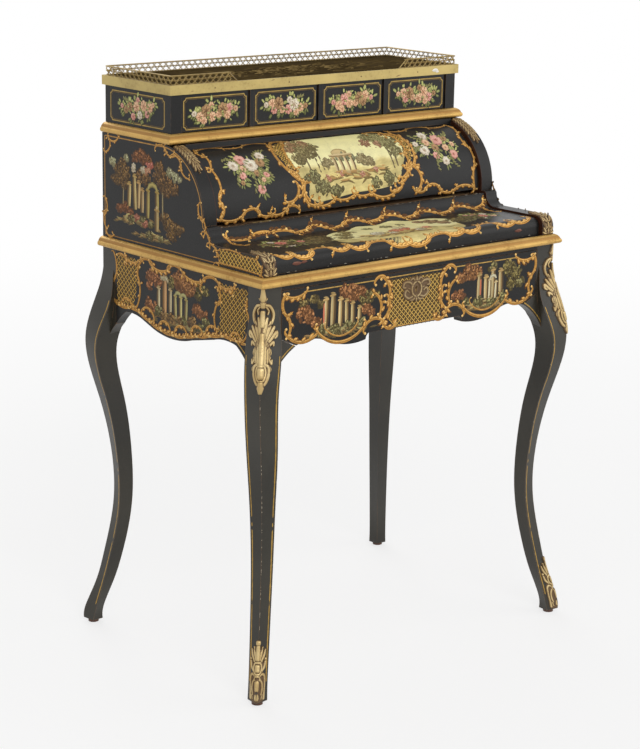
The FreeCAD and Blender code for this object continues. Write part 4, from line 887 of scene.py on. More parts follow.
def landscape(painting, outline, seed=0):
    """A scene inside a closed outline: rings of points from the middle out to the outline, coloured by
    place, with pale sky above a wavy horizon and mottled meadow below it, darker to both ends."""
    edge = smooth_path(*outline, outline[0], count=120)
    middle = edge.mean()
    reach = np.linspace(0, 1, 26) ** 0.8
    where = (middle + reach[:, None] * (edge - middle))[None]
    x = (where.real - edge.real.min()) / np.ptp(edge.real)
    y = (where.imag - edge.imag.min()) / np.ptp(edge.imag)
    mottle = (np.sin(41 * x + 17 * y + seed) * np.sin(23 * y - 31 * x) * 0.5
              + np.sin(97 * x - 61 * y) * np.sin(71 * x + 83 * y) * 0.3)
    horizon = 0.46 + 0.05 * np.sin(9 * x + seed) + 0.03 * np.sin(27 * x)
    sky = np.array((0.86, 0.8, 0.38)) + np.array((0.1, 0.09, 0.14)) * (1 - y)[..., None]
    meadow = np.array((0.66, 0.54, 0.22)) + np.array((0.28, 0.26, 0.12)) * (mottle * 0.6 + 0.2)[..., None]
    share = np.clip((y - horizon) * 14 + 0.5, 0, 1)[..., None]
    tone = meadow + (sky - meadow) * share
    shade = np.clip(1.25 - 0.5 * abs(x - 0.5) * 2 * (1 - share[..., 0]), 0.5, 1.05)[..., None]
    paint = np.concatenate([np.clip(tone * shade * (1 + 0.1 * mottle[..., None]), 0, 1),
                            np.zeros((*where.shape, 1))], -1)
    rim = np.where(reach < 1, 1.0, 0.0)[None, :, None]
    painting.film(where, 0.8 * rim * np.ones(where.shape), paint)


cylinder = Painting(seed=55, coat=0.012)
scene = [-104+147j, -72+152j, 9+152j, 93+151j, 134+137j, 152+112j, 146+81j, 128+55j, 117+36j, 78+25j, 2+22j,
    -62+15j, -88+14j, -105+27j, -101+50j, -116+62j, -122+90j, -124+118j]
trellis(cylinder, [-143+133j, -124+146j, -112+148j, -124+112j, -122+84j, -132+78j, -140+96j, -146+118j],
    cell=7.0, width=1.1)
trellis(cylinder, [139+142j, 160+130j, 168+112j, 170+90j, 158+72j, 148+68j, 150+84j, 154+112j], cell=7.0,
    width=1.1)
landscape(cylinder, scene)
leafage(cylinder, [(-92+128j, 22), (-76+112j, 19), (-102+100j, 16), (-60+124j, 15)], (0.16, 0.13, 0.05),
    (0.46, 0.4, 0.17), 0.9, 6)
leafage(cylinder, [(-96+140j, 14), (-70+138j, 12), (-110+122j, 11)], (0.26, 0.15, 0.07), (0.6, 0.38, 0.2),
    0.8, 5)
leafage(cylinder, [(104+132j, 19), (122+116j, 20), (132+94j, 14), (84+138j, 13)], (0.18, 0.15, 0.06),
    (0.48, 0.42, 0.2), 0.9, 6)
leafage(cylinder, [(70+120j, 12), (98+116j, 11)], (0.3, 0.16, 0.08), (0.66, 0.42, 0.25), 0.8, 5)
columns(cylinder, [(-66, 66, 122), (-56, 70, 126), (-88, 62, 108), (112, 58, 110), (122, 62, 96)], 3.6,
    stone=(0.24, 0.19, 0.1))
leafage(cylinder, [(-10+92j, 9), (4+94j, 11), (20+91j, 8), (36+89j, 6)], (0.2, 0.2, 0.1), (0.5, 0.5, 0.28),
    1.0, 4)
leafage(cylinder, [(-44+84j, 13), (40+84j, 14), (58+80j, 10)], (0.26, 0.2, 0.09), (0.56, 0.46, 0.24), 0.9, 6)
cylinder.dabs([-5+102j, -7+103j], [38, 30], [26, 20], 0, 0, [(0.4, 0.29, 0.12), (0.66, 0.5, 0.24)], taper=0.4)
columns(cylinder, [(-26, 64, 94), (-12, 64, 96), (2, 64, 96), (16, 64, 94)], 7.5, stone=(0.74, 0.6, 0.34))
cylinder.dabs([-5+98j, -5+99.5j, -5+62j], [58, 56, 62], [8, 4.6, 7], 0, 0, [(0.36, 0.25, 0.11),
    (0.76, 0.6, 0.32), (0.5, 0.38, 0.18)], taper=0.2)
ground(cylinder, 10+62j, 100, 18, count=36, pale=1.9)
leafage(cylinder, [(-70+40j, 18), (-88+60j, 15), (-40+30j, 13), (96+44j, 15), (60+36j, 12)],
    (0.14, 0.115, 0.045), (0.42, 0.4, 0.17), 0.8, 6)
leafage(cylinder, [(-20+60j, 7), (30+54j, 8), (66+62j, 6), (-52+54j, 6)], (0.5, 0.2, 0.12),
    (0.84, 0.55, 0.4), 0.8, 4)
bouquet(cylinder, [(-216+98j, 15, "cream"), (-232+112j, 12, "pink"), (-254+100j, 11, "cream"),
    (-185+117j, 10, "cream"), (-193+101j, 10, "brown"), (-190+76j, 7, "pink"), (-243+78j, 8, "pink"),
    (-236+92j, 7, "peach"), (-210+80j, 7, "brown"), (-210+49j, 9, "pink"), (-200+66j, 5, "peach"),
    (-248+64j, 5, "brown")], stems=((-236+88j, -258+56j, 0.2), (-222+84j, -228+42j, -0.15),
    (-204+80j, -206+46j, 0.1), (-196+84j, -178+66j, -0.2), (-244+108j, -274+112j, 0.2),
    (-200+116j, -166+128j, -0.2)), leaf=11)
bouquet(cylinder, [(202+89j, 12, "cream"), (219+124j, 11, "cream"), (246+62j, 9, "cream"),
    (246+110j, 14, "pink"), (226+75j, 8, "pink"), (271+74j, 10, "pink"), (216+106j, 9, "peach"),
    (232+92j, 9, "brown"), (258+90j, 8, "peach"), (266+112j, 8, "brown"), (188+104j, 7, "cream"),
    (278+96j, 6, "peach")], stems=((236+80j, 226+42j, 0.2), (262+76j, 278+46j, 0.15),
    (200+96j, 176+84j, 0.2), (214+116j, 186+132j, -0.2), (256+118j, 282+132j, 0.2)), leaf=11)
for start, end, bulge, width, size, leaves, side in (
        # the cartouche, from its left head down to the foot and up the right side
        (-144+132j, -112+152j, -0.3, 6, 0.16, 3, 1), (-108+148j, -124+84j, 0.14, 5, 0.1, 4, -1),
        (-146+134j, -132+70j, 0.16, 6, 0.12, 3, -1), (-138+80j, -100+52j, 0.18, 6, 0.14, 4, 1),
        (-128+50j, -158+20j, -0.28, 6, 0.16, 4, 1), (-130+76j, -122+30j, -0.2, 5.5, 0.12, 4, -1),
        (-102+56j, -108+22j, 0.3, 5.5, 0.14, 4, -1), (-116+26j, -84+10j, 0.24, 6, 0.16, 4, -1),
        (-90+10j, -44+18j, 0.18, 5.5, 0.12, 5, -1), (-48+18j, 4+20j, 0.14, 5, 0.12, 5, -1),
        (0+22j, 48+20j, 0.14, 5, 0.12, 5, -1), (42+20j, 104+14j, 0.16, 6, 0.14, 6, -1),
        (96+16j, 124+38j, 0.3, 6, 0.16, 4, 1), (118+30j, 142+58j, 0.2, 5.5, 0.14, 3, -1),
        (126+40j, 150+84j, 0.2, 5, 0.12, 4, -1), (142+56j, 172+88j, 0.22, 6, 0.14, 4, -1),
        (171+82j, 168+116j, 0.16, 5.5, 0.14, 3, -1), (172+108j, 138+142j, 0.22, 6, 0.14, 4, -1),
        (150+84j, 152+116j, 0.16, 4.5, 0.1, 2, -1), (154+112j, 128+146j, 0.2, 5, 0.12, 3, 1),
        (162+56j, 160+12j, -0.28, 6, 0.16, 5, 1), (146+46j, 168+60j, -0.3, 5, 0.18, 3, 1),
        (134+144j, 96+152j, 0.14, 4.5, 0.12, 3, -1),
        # the border along the foot
        (-157+12j, -194+3j, -0.2, 5, 0.16, 4, 1), (-190+3j, -228+12j, -0.2, 5, 0.15, 4, 1),
        (-224+12j, -262+6j, 0.2, 5, 0.15, 4, -1), (-258+7j, -306+3j, -0.12, 5, 0.12, 4, 1),
        (-130+5j, -160+10j, 0.2, 5, 0.15, 3, -1), (160+10j, 188+21j, 0.24, 5, 0.16, 3, 1),
        (186+18j, 222+7j, -0.2, 5, 0.14, 4, -1), (218+8j, 262+6j, 0.16, 5, 0.12, 4, 1),
        (258+6j, 308+4j, -0.12, 5, 0.12, 4, -1),
        # the borders up both sides
        (-311+4j, -303+30j, 0.2, 5, 0.16, 4, 1), (-303+26j, -302+54j, -0.2, 5, 0.16, 3, -1),
        (-302+48j, -306+100j, 0.1, 4.4, 0.08, 3, 1), (-307+94j, -298+132j, 0.12, 4.4, 0.1, 3, -1),
        (-300+128j, -306+152j, -0.2, 4.4, 0.14, 3, 1), (311+4j, 316+48j, -0.12, 5, 0.12, 4, 1),
        (315+42j, 314+92j, 0.1, 4.4, 0.09, 4, -1), (314+86j, 313+124j, -0.12, 4.4, 0.1, 3, 1),
        (313+120j, 306+152j, 0.16, 4.4, 0.12, 3, -1)):
    cylinder.height = 0.3
    gilt(cylinder, scroll(start, end, bulge, (0.32, 0.32), size), width, leaves, side, 2.3)
for low in range(-300, 300, 50):
    cylinder.height = 0.3
    if not -150 < low + 25 < 140:
        along = scroll(low + 151j, low + 52 + 151j, 0.1 if low % 100 else -0.1, (0.25, 0.25), 0.1)
        gilt(cylinder, along, 3.4, 3, 1, 2)
shell_radius, shell_foot = 115, math.radians(2.5)


def on_cylinder(across, up, lift):
    """The skin of the cylinder: up is the way round it, from its foot."""
    angle = up / shell_radius - shell_foot
    return np.stack([across, axis_y - (shell_radius + lift) * np.cos(angle),
                     axis_z + (shell_radius + lift) * np.sin(angle)], -1)


cylinder.hang("cylinder_painting", on_cylinder, "cylinder")


# ---------------------------------------------------------------- painted flap
# The writing flap is one shaped board: a lip, a hollow, a flat and a rounded nose. A long scene lies in the
# middle of the flat, sprays of flowers at its ends, and scrolled borders follow the lip and the nose.

quarter = np.linspace(0, np.pi / 2, 13)
flap_profile = np.concatenate([[(-227.5, 758.5), (-227.5, 766)],
                               np.stack([-211.5 - 16 * np.cos(quarter), 773.5 + 16 * np.sin(quarter)], -1),
                               [(-180, 789.5), (-140, 789.5)],
                               np.stack([-107 + 27.5 * np.sin(quarter), 817 - 27.5 * np.cos(quarter)], -1),
                               [(-73, 817)]])
flap_way = np.gradient(flap_profile, axis=0)
flap_way /= np.linalg.norm(flap_way, axis=1, keepdims=True)
flap_run = np.concatenate([[0], np.cumsum(np.linalg.norm(np.diff(flap_profile, axis=0), axis=1))])


def on_flap(across, up, lift):
    """The skin of the flap: up is the way over its profile, from the foot of the nose to the lip."""
    y, z = (np.interp(up, flap_run, flap_profile[:, side]) for side in (0, 1))
    way_y, way_z = (np.interp(up, flap_run, flap_way[:, side]) for side in (0, 1))
    size = np.hypot(way_y, way_z)
    return np.stack([across, y - lift * way_z / size, z + lift * way_y / size], -1)


flap = Painting(seed=77, coat=0.012)
bank = [-146+84j, -136+112j, -100+134j, -62+136j, -30+152j, 16+148j, 62+156j, 108+144j, 150+142j, 176+116j,
    164+84j, 152+46j, 104+26j, 60+32j, 10+18j, -40+18j, -92+40j, -136+50j]
landscape(flap, bank, seed=3)
leafage(flap, [(-96+108j, 17), (-76+122j, 14), (-110+88j, 14)], (0.17, 0.13, 0.05), (0.48, 0.4, 0.18), 0.9, 6)
leafage(flap, [(128+116j, 17), (142+98j, 15), (104+126j, 13)], (0.2, 0.13, 0.06), (0.56, 0.38, 0.19), 0.9, 6)
leafage(flap, [(20+124j, 12), (-20+128j, 10), (60+126j, 9)], (0.22, 0.2, 0.08), (0.5, 0.48, 0.24), 0.9, 5)
ground(flap, 14+80j, 110, 22, count=44, pale=1.9)
leafage(flap, [(-34+84j, 14), (-4+74j, 10), (58+70j, 9)], (0.5, 0.42, 0.26), (0.95, 0.9, 0.74), 1.0, 6)
leafage(flap, [(16+88j, 13), (38+92j, 11), (84+80j, 9)], (0.55, 0.16, 0.08), (0.92, 0.5, 0.32), 1.0, 6)
columns(flap, [(24, 92, 114), (34, 92, 118), (46, 92, 112)], 5, stone=(0.66, 0.6, 0.42))
dusk = ((0.055, 0.042, 0.016), (0.29, 0.225, 0.085))
leafage(flap, [(-170+88j, 28), (-196+96j, 24), (-152+108j, 24), (-232+104j, 22), (-262+112j, 16)], *dusk,
    0.9, 7)
leafage(flap, [(190+96j, 26), (214+106j, 22), (240+100j, 18)], *dusk, 0.9, 7)
bouquet(flap, [(-236+112j, 12, "red"), (-214+104j, 10, "pink"), (-256+100j, 10, "peach"),
    (-232+88j, 9, "cream"), (-206+90j, 8, "cream"), (-262+118j, 8, "pink"), (-196+106j, 8, "red"),
    (-248+126j, 7, "cream"), (-218+124j, 7, "brown")], stems=((-200+96j, -160+84j, 0.2),
    (-256+108j, -286+100j, 0.2), (-228+118j, -196+132j, 0.2)), leaf=11)
bouquet(flap, [(232+112j, 11, "pink"), (252+104j, 10, "red"), (216+102j, 9, "peach"), (240+92j, 8, "cream"),
    (264+118j, 8, "cream"), (224+124j, 8, "pink"), (272+96j, 7, "peach"), (246+126j, 7, "brown")],
    stems=((222+96j, 182+84j, -0.2), (262+108j, 292+100j, -0.2)), leaf=11)
for start, end, bulge, width, leaves, side in (
        # along the hollow
        (-313+172j, -300+134j, 0.1, 5.5, 4, 1), (-312+166j, -262+163j, 0.1, 6, 5, 1),
        (-266+163j, -214+168j, -0.09, 6.5, 5, -1), (-220+167j, -164+163j, -0.08, 6, 5, 1),
        (-170+163j, -122+168j, 0.1, 6.5, 5, -1), (-128+168j, -84+161j, -0.1, 7, 5, 1),
        (-90+161j, -38+168j, 0.1, 7, 5, -1), (-44+168j, 8+164j, -0.08, 6.5, 5, 1),
        (2+164j, 54+169j, 0.08, 7, 5, -1), (48+169j, 98+163j, -0.1, 7, 5, 1),
        (92+163j, 142+168j, 0.1, 6.5, 5, -1), (136+168j, 186+161j, -0.08, 6.5, 5, 1),
        (180+161j, 232+167j, 0.1, 6.5, 5, -1), (226+167j, 276+161j, -0.1, 6, 5, 1),
        (270+161j, 312+168j, 0.1, 6, 5, -1), (312+170j, 304+124j, 0.12, 5, 4, 1),
        # along the round of the nose
        (-312+40j, -274+31j, 0.24, 6, 5, 1), (-278+33j, -232+27j, 0.2, 6, 6, 1),
        (-238+31j, -190+36j, -0.16, 5.5, 5, 1), (-194+38j, -146+31j, 0.2, 6, 6, 1),
        (-150+33j, -100+31j, 0.2, 6, 6, 1), (-104+30j, -56+30j, -0.1, 5.5, 5, 1),
        (-60+29j, -8+19j, 0.14, 6, 6, 1), (-14+21j, 38+19j, 0.14, 6, 6, 1),
        (34+21j, 84+29j, -0.1, 5.5, 5, 1), (80+31j, 128+27j, 0.14, 6, 6, 1),
        (122+33j, 172+31j, 0.2, 6, 6, 1), (168+33j, 214+40j, -0.16, 5.5, 5, 1),
        (210+41j, 262+31j, 0.2, 6, 6, 1), (256+33j, 312+40j, 0.16, 6, 5, 1)):
    flap.height = 0.3
    curl = 0.2 if start.imag > 100 else 0.34
    gilt(flap, scroll(start, end, bulge, (curl, curl), 0.2), width, leaves, side, glow=1.2)
flap.dabs([-272+14j, 266+13j, -256+15j], [22, 20, 14], [6.5, 6, 5], [0, 0, 0.1], 0, (0.16, 0.06, 0.04))
flap.dabs([-274+16j, 268+15j], [14, 12], [3, 3], 0, 0, (0.25, 0.11, 0.075))
chips = flap.chance.random((3, 26))
bare_ground = (0.4, 0.37, 0.31)
flap.dabs(-300 + 600 * chips[0] + 1.2j, 1.5 + 5 * chips[1] ** 2, 0.6 + 0.8 * chips[2], 0, 0, bare_ground)
flap.dabs(-318 + 636 * chips[1] + 1j * (flap_run[-1] - 4), 2 + 6 * chips[2] ** 2, 0.6 + 0.6 * chips[0], 0,
    0, bare_ground)
flap.dabs([-196+5j, 40+22j], 2.2, 1.5, 0, 0, (0.42, 0.4, 0.35))
flap.hang("flap_painting", on_flap, "flap")


# ---------------------------------------------------------------- gilt bronze mouldings and the band
# Cast and drawn brass mouldings, mitred at the corners and nailed on. The high parts are rubbed bright, and
# the hollow is painted darker brown, for the dirt and old lacquer it keeps and for the shade that falls in
# it. The plain band round the top is nailed through its face.

def gilt_bronze(name, bright=(0.66, 0.41, 0.115), dirt_and_shade=(0.3, 0.14, 0.03), hollows=()):
    bronze = Finish(name)
    cloud = bronze.noise(14.0, detail=4, roughness=0.6)
    fine = bronze.noise(220.0, detail=4, roughness=0.6)
    drawn = bronze.noise(40.0, stretch=(1, 1, 9), detail=3)
    tone = bronze.mix(cloud.step(0.3, 0.72), bright, tuple(0.8 * part for part in bright))
    tone = bronze.mix((fine + cloud * 0.6).step(0.82, 1.05) * 0.5, tone, dirt_and_shade)
    height = bronze.axis("Z")
    # Each groove is painted darker: dirt and old lacquer in it, and painted shade in the recess.
    for low, high in hollows:
        middle, half = (low + high) / 2, (high - low) / 2
        away = bronze.add("ShaderNodeMath", {"operation": "ABSOLUTE"}, [height - middle])
        tone = bronze.mix((1 - away.step(half * 0.55, half * 1.15)) * 0.8, tone, dirt_and_shade)
    bronze.relief(fine * 0.6 + drawn + cloud * 0.5, 0.00018, 0.5)
    return bronze.set(base_color=tone, metallic=0.55 + cloud * 0.2, roughness=0.34 + fine * 0.2)


table_hollow, upper_hollow = (0.7496, 0.7555), (0.9596, 0.9655)      # from and to which height
moulding_bronze = gilt_bronze("moulding_bronze", hollows=(table_hollow, upper_hollow))
band_brass = gilt_bronze("band_brass", bright=(0.55, 0.42, 0.155), dirt_and_shade=(0.3, 0.2, 0.07))
cover(moulding_bronze, "table_moulding", "upper_moulding")
cover(band_brass, "brass_band", "flap_hinges_fixed", "flap_hinges_moving")


# ---------------------------------------------------------------- painted small drawers and box ends
# Four small drawers without knobs stand side by side in the box, and each front carries a bronze line with
# hollow corners round a low bouquet. The ends of the box have the same frame, larger.

def hollow_frame(low, high):
    """A rectangle whose corners are cut by quarter circles centred on them."""
    notch, points = 5.0, 10
    corners = (low, high.real + 1j * low.imag, high, low.real + 1j * high.imag)
    turns = ((np.pi / 2, 0), (np.pi, np.pi / 2), (1.5 * np.pi, np.pi), (2 * np.pi, 1.5 * np.pi))
    arcs = [corner + notch * np.exp(1j * np.linspace(*turn, points)) for corner, turn in zip(corners, turns)]
    sides = [np.linspace(arcs[k][-1], arcs[(k + 1) % 4][0], 14)[1:-1] for k in range(4)]
    path = np.concatenate([part for pair in zip(arcs, sides) for part in pair])
    return np.append(path, path[:2])


def framed_bouquet(low, high, blooms, seed):
    """Two thin lines round a panel, from its low left to its high right corner, and a bouquet in it. The
    blooms are rows of way right, way up and radius about the middle, and their kinds are drawn."""
    work = Painting(seed)
    work.line(hollow_frame(low, high), 2.3, ridge=(0.52, 0.36, 0.1))
    work.line(hollow_frame(low + 2.6 + 2.6j, high - 2.6 - 2.6j), 1.0, ridge=(0.2, 0.13, 0.04), metal=0.2)
    middle = (low + high) / 2
    chance = np.random.default_rng(seed)
    kinds = ("pink", "peach", "cream", "peach", "brown", "pink", "peach", "peach")
    spots = [(middle + wide + 1j * rise, radius, "brown" if number == 3 else kinds[chance.integers(8)])
             for number, (wide, rise, radius) in enumerate(blooms)]
    stems = ((middle - 22, middle - 48 - 4j, 0.2), (middle + 24, middle + 52 + 3j, 0.2),
        (middle + 16, middle + 44 + 15j, -0.2), (middle - 16, middle - 40 + 13j, -0.2))
    bouquet(work, spots, stems=stems, leaf=12)
    return work


drawer_blooms = ((-34, -7, 9), (-20, 2, 11.5), (-7, -7, 9), (17, 4, 11.5), (-9, 11, 6.5), (32, 6, 9),
    (-25, -14, 7), (8, -6, 7), (27, -6, 8), (46, 3, 5.5), (-47, -2, 5.5))
drawers_ahead, panel_low, panel_high = -39, 5+972.5j, 145.5+1028.5j
for number, left in enumerate((-319, -156.5, 6, 168.5), 1):
    shuffled = [(-wide if number % 2 == 0 else wide, rise + ((number * 7 + k) % 3 - 1), radius)
                for k, (wide, rise, radius) in enumerate(drawer_blooms)]
    work = framed_bouquet(left + panel_low, left + panel_high, shuffled, number)
    work.hang(f"small_drawer_painting_{number}", front_face(drawers_ahead), f"small_drawer_{number}")
end_blooms = ((-38, 6, 9), (-20, 8, 10), (2, 4, 10), (22, 2, 9), (-8, -10, 8), (12, -14, 7), (34, -4, 7),
    (-30, -6, 7), (-48, 12, 5), (46, 2, 5), (-2, 16, 6))
box_end = 344
work = framed_bouquet(55+974j, 219+1028j, end_blooms, 9)
for side, hand in (("left", -1), ("right", 1)):
    work.hang(f"box_end_painting_{side}", end_face(hand, box_end), "case")


# ---------------------------------------------------------------- painted top
# The top board is one board, japanned brown-black and fixed over the box. It is painted all over with loose
# strokes, worn by what stood on it.

top_paint = brushed_paint("top_brushwork", shine=0.0)
top = Painting(seed=12)
chance = top.chance
strokes = chance.random((2, 420)) * 2 - 1
place = 330 * strokes[0] + 1j * (136 + 88 * strokes[1])
near = np.exp(-((place.real - 20) / 220) ** 2 - ((place.imag - 130) / 60) ** 2)
tone = (0.055 + 0.3 * near * chance.random(420))[:, None] * np.array((1.0, 0.68, 0.26))
top.dabs(place, 26 + 30 * chance.random(420), 3 + 6 * chance.random(420), chance.normal(0.35, 0.35, 420),
         chance.normal(0, 1.1, 420), tone)
leafage(top, [(-40+130j, 34), (40+140j, 38), (110+126j, 28), (-110+140j, 26)], (0.05, 0.035, 0.014),
    (0.34, 0.25, 0.09), 0.5, 11)
top_height = 1052.4
top.hang("top_painting", lambda across, up, lift: np.stack([across, up, top_height + lift], -1), "case",
         top_paint)


# ---------------------------------------------------------------- pierced gallery
# A low brass gallery stands round the sides and back of the top and returns a little way along the front.
# It is pierced in two rows of interlaced arcs between a thin foot and a thin cap.

gallery_brass = gilt_bronze("gallery_brass", bright=(0.42, 0.305, 0.12), dirt_and_shade=(0.12, 0.07, 0.025))
plan = np.array([(-196, 37.1), (-342.9, 37.1), (-342.9, 234.4), (342.9, 234.4), (342.9, 37.1), (196, 37.1)])
plan_run = np.concatenate([[0], np.cumsum(np.linalg.norm(np.diff(plan, axis=0), axis=1))])


def wire(run, height, wide, deep):
    """A bar of four sides along the plan of the gallery: at each step its section is a square on edge,
    deep across the wall and wide along its own height."""
    x, y = (np.interp(run, plan_run, plan[:, side]) for side in (0, 1))
    centre = np.stack([x, y, height], -1)
    way = np.gradient(centre, axis=0)
    way /= np.maximum(np.linalg.norm(way, axis=1, keepdims=True), 1e-9)
    flat = way * (1, 1, 0)
    through = np.stack([flat[:, 1], -flat[:, 0], np.zeros(len(run))], -1)
    through /= np.maximum(np.linalg.norm(through, axis=1, keepdims=True), 1e-6)
    rise = np.cross(way, through)
    section = [wide * rise, deep * through, -wide * rise, -deep * through]
    points = np.stack([centre + part for part in section], 1).reshape(-1, 3)
    step, side = np.meshgrid(np.arange(len(run) - 1), np.arange(4), indexing="ij")
    ahead = (side + 1) % 4
    faces = np.stack([step * 4 + side, step * 4 + ahead, step * 4 + 4 + ahead, step * 4 + 4 + side], -1)
    caps = np.array([(3, 2, 1, 0), tuple(len(run) * 4 - 4 + k for k in range(4))])
    return points, np.concatenate([faces.reshape(-1, 4), caps])


total = plan_run[-1]
parts = []
for height, cut, wide in ((1053.2, 0, 1.1), (1068.9, 18, 1.3), (1061.3, 9, 0.9)):
    run = np.unique(np.concatenate([np.linspace(cut, total - cut, 200), plan_run[1:-1]]))
    parts.append(wire(run, np.full(len(run), height), wide, 1.5 if wide > 1 else 1.1))
margin, wished_period = 14, 27      # the waves stop short of both ends
waves = round((total - 2 * margin) / wished_period)
period = (total - 2 * margin) / waves
run = np.linspace(margin, total - margin, 16 * waves + 1)
for middle, phase in ((1057.3, 0.0), (1065.0, 0.25)):
    for side in (1, -1):
        wave = side * 4.0 * np.sin(2 * np.pi * ((run - margin) / period + phase))
        parts.append(wire(run, middle + wave, 0.85, 0.9))
for low, high in ((0.6, 19), (total - 0.6, total - 19)):
    parts.append(wire(np.linspace(low, high, 8), np.linspace(1053, 1068.8, 8), 1.1, 1.3))
starts = np.cumsum([0] + [len(points) for points, faces in parts])
gallery_points = np.concatenate([points for points, faces in parts]) / 1000
gallery_faces = np.concatenate([faces + start for (points, faces), start in zip(parts, starts)])
gallery = make("pierced_gallery", gallery_points, gallery_faces, "case", gallery_brass)
gallery.data.polygons.foreach_set("use_smooth", np.zeros(len(gallery_faces), bool))
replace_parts(gallery, "gallery")


# ---------------------------------------------------------------- nails of the brass band
# The band round the top board is nailed through its face. Four nails show as small brown heads, and the
# brass is stained in places and rubbed pale near its right end.

band_ahead = -31.4
nails = Painting(seed=2)
nails.dabs(np.array([-250, -80, 95, 240]) + 1044j, 3.2, 3.0, 0, 0, (0.1, 0.06, 0.025), 0.3)
nails.dabs([-118+1050j, 190+1040j, -300+1041j], [9, 14, 7], [1.6, 2.2, 1.4], 0.2, 0, (0.25, 0.17, 0.08),
    0.4)
nails.dabs([286+1045j, 292+1042j], [16, 9], [7, 5], 0.1, 0, (0.8, 0.76, 0.68), 0.2)
nails.hang("band_nails", front_face(band_ahead), "case")


# ---------------------------------------------------------------- cast mounts on the front legs
# Cast and chased bronze, pinned over the arris of each front leg: at the knee a bud, a pierced ring, a shell
# plume, a long fluted leaf and a boss, and at the toe a boss among leaves. The hollows are brown with dirt,
# and the low ground and the sides of each ridge are painted darker and the crowns lighter, as painted shade
# and highlight.

def chased_bronze():
    bronze = Finish("chased_bronze")
    # This mask carries dirt in the hollows and painted shade: dark on the low ground, in furrows and on ridge
    # sides, light on the crowns.
    shade_and_dirt = bronze.add("ShaderNodeAttribute", {"attribute_name": "shade_and_dirt"}, {}, "Fac")
    cloud = bronze.noise(35.0, detail=4)
    fine = bronze.noise(380.0, detail=3)
    tone = bronze.mix(cloud.step(0.3, 0.7), (0.66, 0.505, 0.25), (0.49, 0.345, 0.145))
    tone = bronze.mix((shade_and_dirt + fine * 0.3 - 0.15).step(0.1, 0.72) * 0.93, tone, (0.11, 0.058, 0.026))
    bronze.relief(fine + cloud, 0.00025, 0.5)
    return bronze.set(base_color=tone, metallic=0.72 - shade_and_dirt * 0.4,
                      roughness=0.33 + fine * 0.2 + shade_and_dirt * 0.15)


chased = chased_bronze()


def chase(place, ridges, openings, back):
    """The height of a relief over places: each ridge is a path with a half width and a height, round in
    section. The highest ridge wins, and where two meet a furrow is left between them. A ridge lower than
    1.5 is the dark ground of the casting. Openings, paths with a half width, are cut through."""
    height = np.full(place.shape, -back)
    second = np.full(place.shape, -back)
    crown = np.zeros(place.shape)
    for path, half, tall in ridges:
        along = np.linspace(0, 1, len(path))
        half = np.interp(along, np.linspace(0, 1, np.size(half)), np.atleast_1d(half))
        ratio = abs(place[..., None] - path) / half
        ridge = np.where(ratio < 1, tall * np.sqrt(np.clip(1 - ratio ** 2, 0, 1)), -back).max(-1)
        second = np.maximum(second, np.minimum(height, ridge))
        crown = np.where(ridge > height, np.clip(1 - ratio.min(-1) ** 2, 0, 1) * (tall > 1.5), crown)
        height = np.maximum(height, ridge)
    furrow = np.clip(1 - (height - second) / 0.9, 0, 1) * (second > 0)
    height = height - furrow * 0.8
    for path, half in openings:
        height = np.where(abs(place[..., None] - path).min(-1) < half, -back, height)
    # The second value is that mask of dirt and painted shade: high on the low ground, in the furrows and down
    # the sides of the ridges, low on their crowns.
    return height, np.clip(1.4 - height / 5.5 - 0.88 * crown + furrow * 0.6, 0, 1)


def cast(name, place_on, ridges, low, high, body, openings=(), step=0.8, back=1.6, lift=0.3, dull=0.0):
    """A casting: a grid over its ground, raised by the relief. Rim and openings dip under the ground."""
    across = np.arange(low.real, high.real + step, step)
    up = np.arange(low.imag, high.imag + step, step)
    place = across[None, :] + 1j * up[:, None]
    height, shade_and_dirt = chase(place, ridges, openings, back)
    height[[0, -1]], height[:, [0, -1]] = -back, -back
    points = place_on(place.real.ravel(), place.imag.ravel(), height.ravel() + lift) / 1000
    corner = np.arange(place.size).reshape(place.shape)
    faces = np.stack([corner[:-1, :-1], corner[:-1, 1:], corner[1:, 1:], corner[1:, :-1]], -1).reshape(-1, 4)
    shown = (height.ravel()[faces] > -back).any(1)
    faces = faces[shown]
    outward = place_on(place.real.ravel(), place.imag.ravel(), height.ravel() + lift + 1) / 1000 - points
    a, b, c, d = (points[faces[:, k]] for k in range(4))
    if (np.cross(c - a, d - b) * outward[faces[:, 0]]).sum() < 0:
        faces = faces[:, ::-1]
    used, faces = np.unique(faces, return_inverse=True)
    piece = make(name, points[used], faces.reshape(-1, 4), body, chased)
    shade = piece.data.attributes.new("shade_and_dirt", "FLOAT", "POINT")
    shade.data.foreach_set("value", (shade_and_dirt.ravel()[used] + dull).astype(np.float32))
    return piece


def both(*ridges):
    """The same ridges on both sides of the middle."""
    return [ridge for path, half, tall in ridges for ridge in ((path, half, tall),
                                                               (-path.conj(), half, tall))]


def ring(middle, wide, tall):
    """An ellipse round its middle: wide times the cosine across, and tall times the sine up."""
    turn = np.linspace(0, 2 * np.pi, 40)
    return middle + wide * np.cos(turn) + 1j * tall * np.sin(turn)


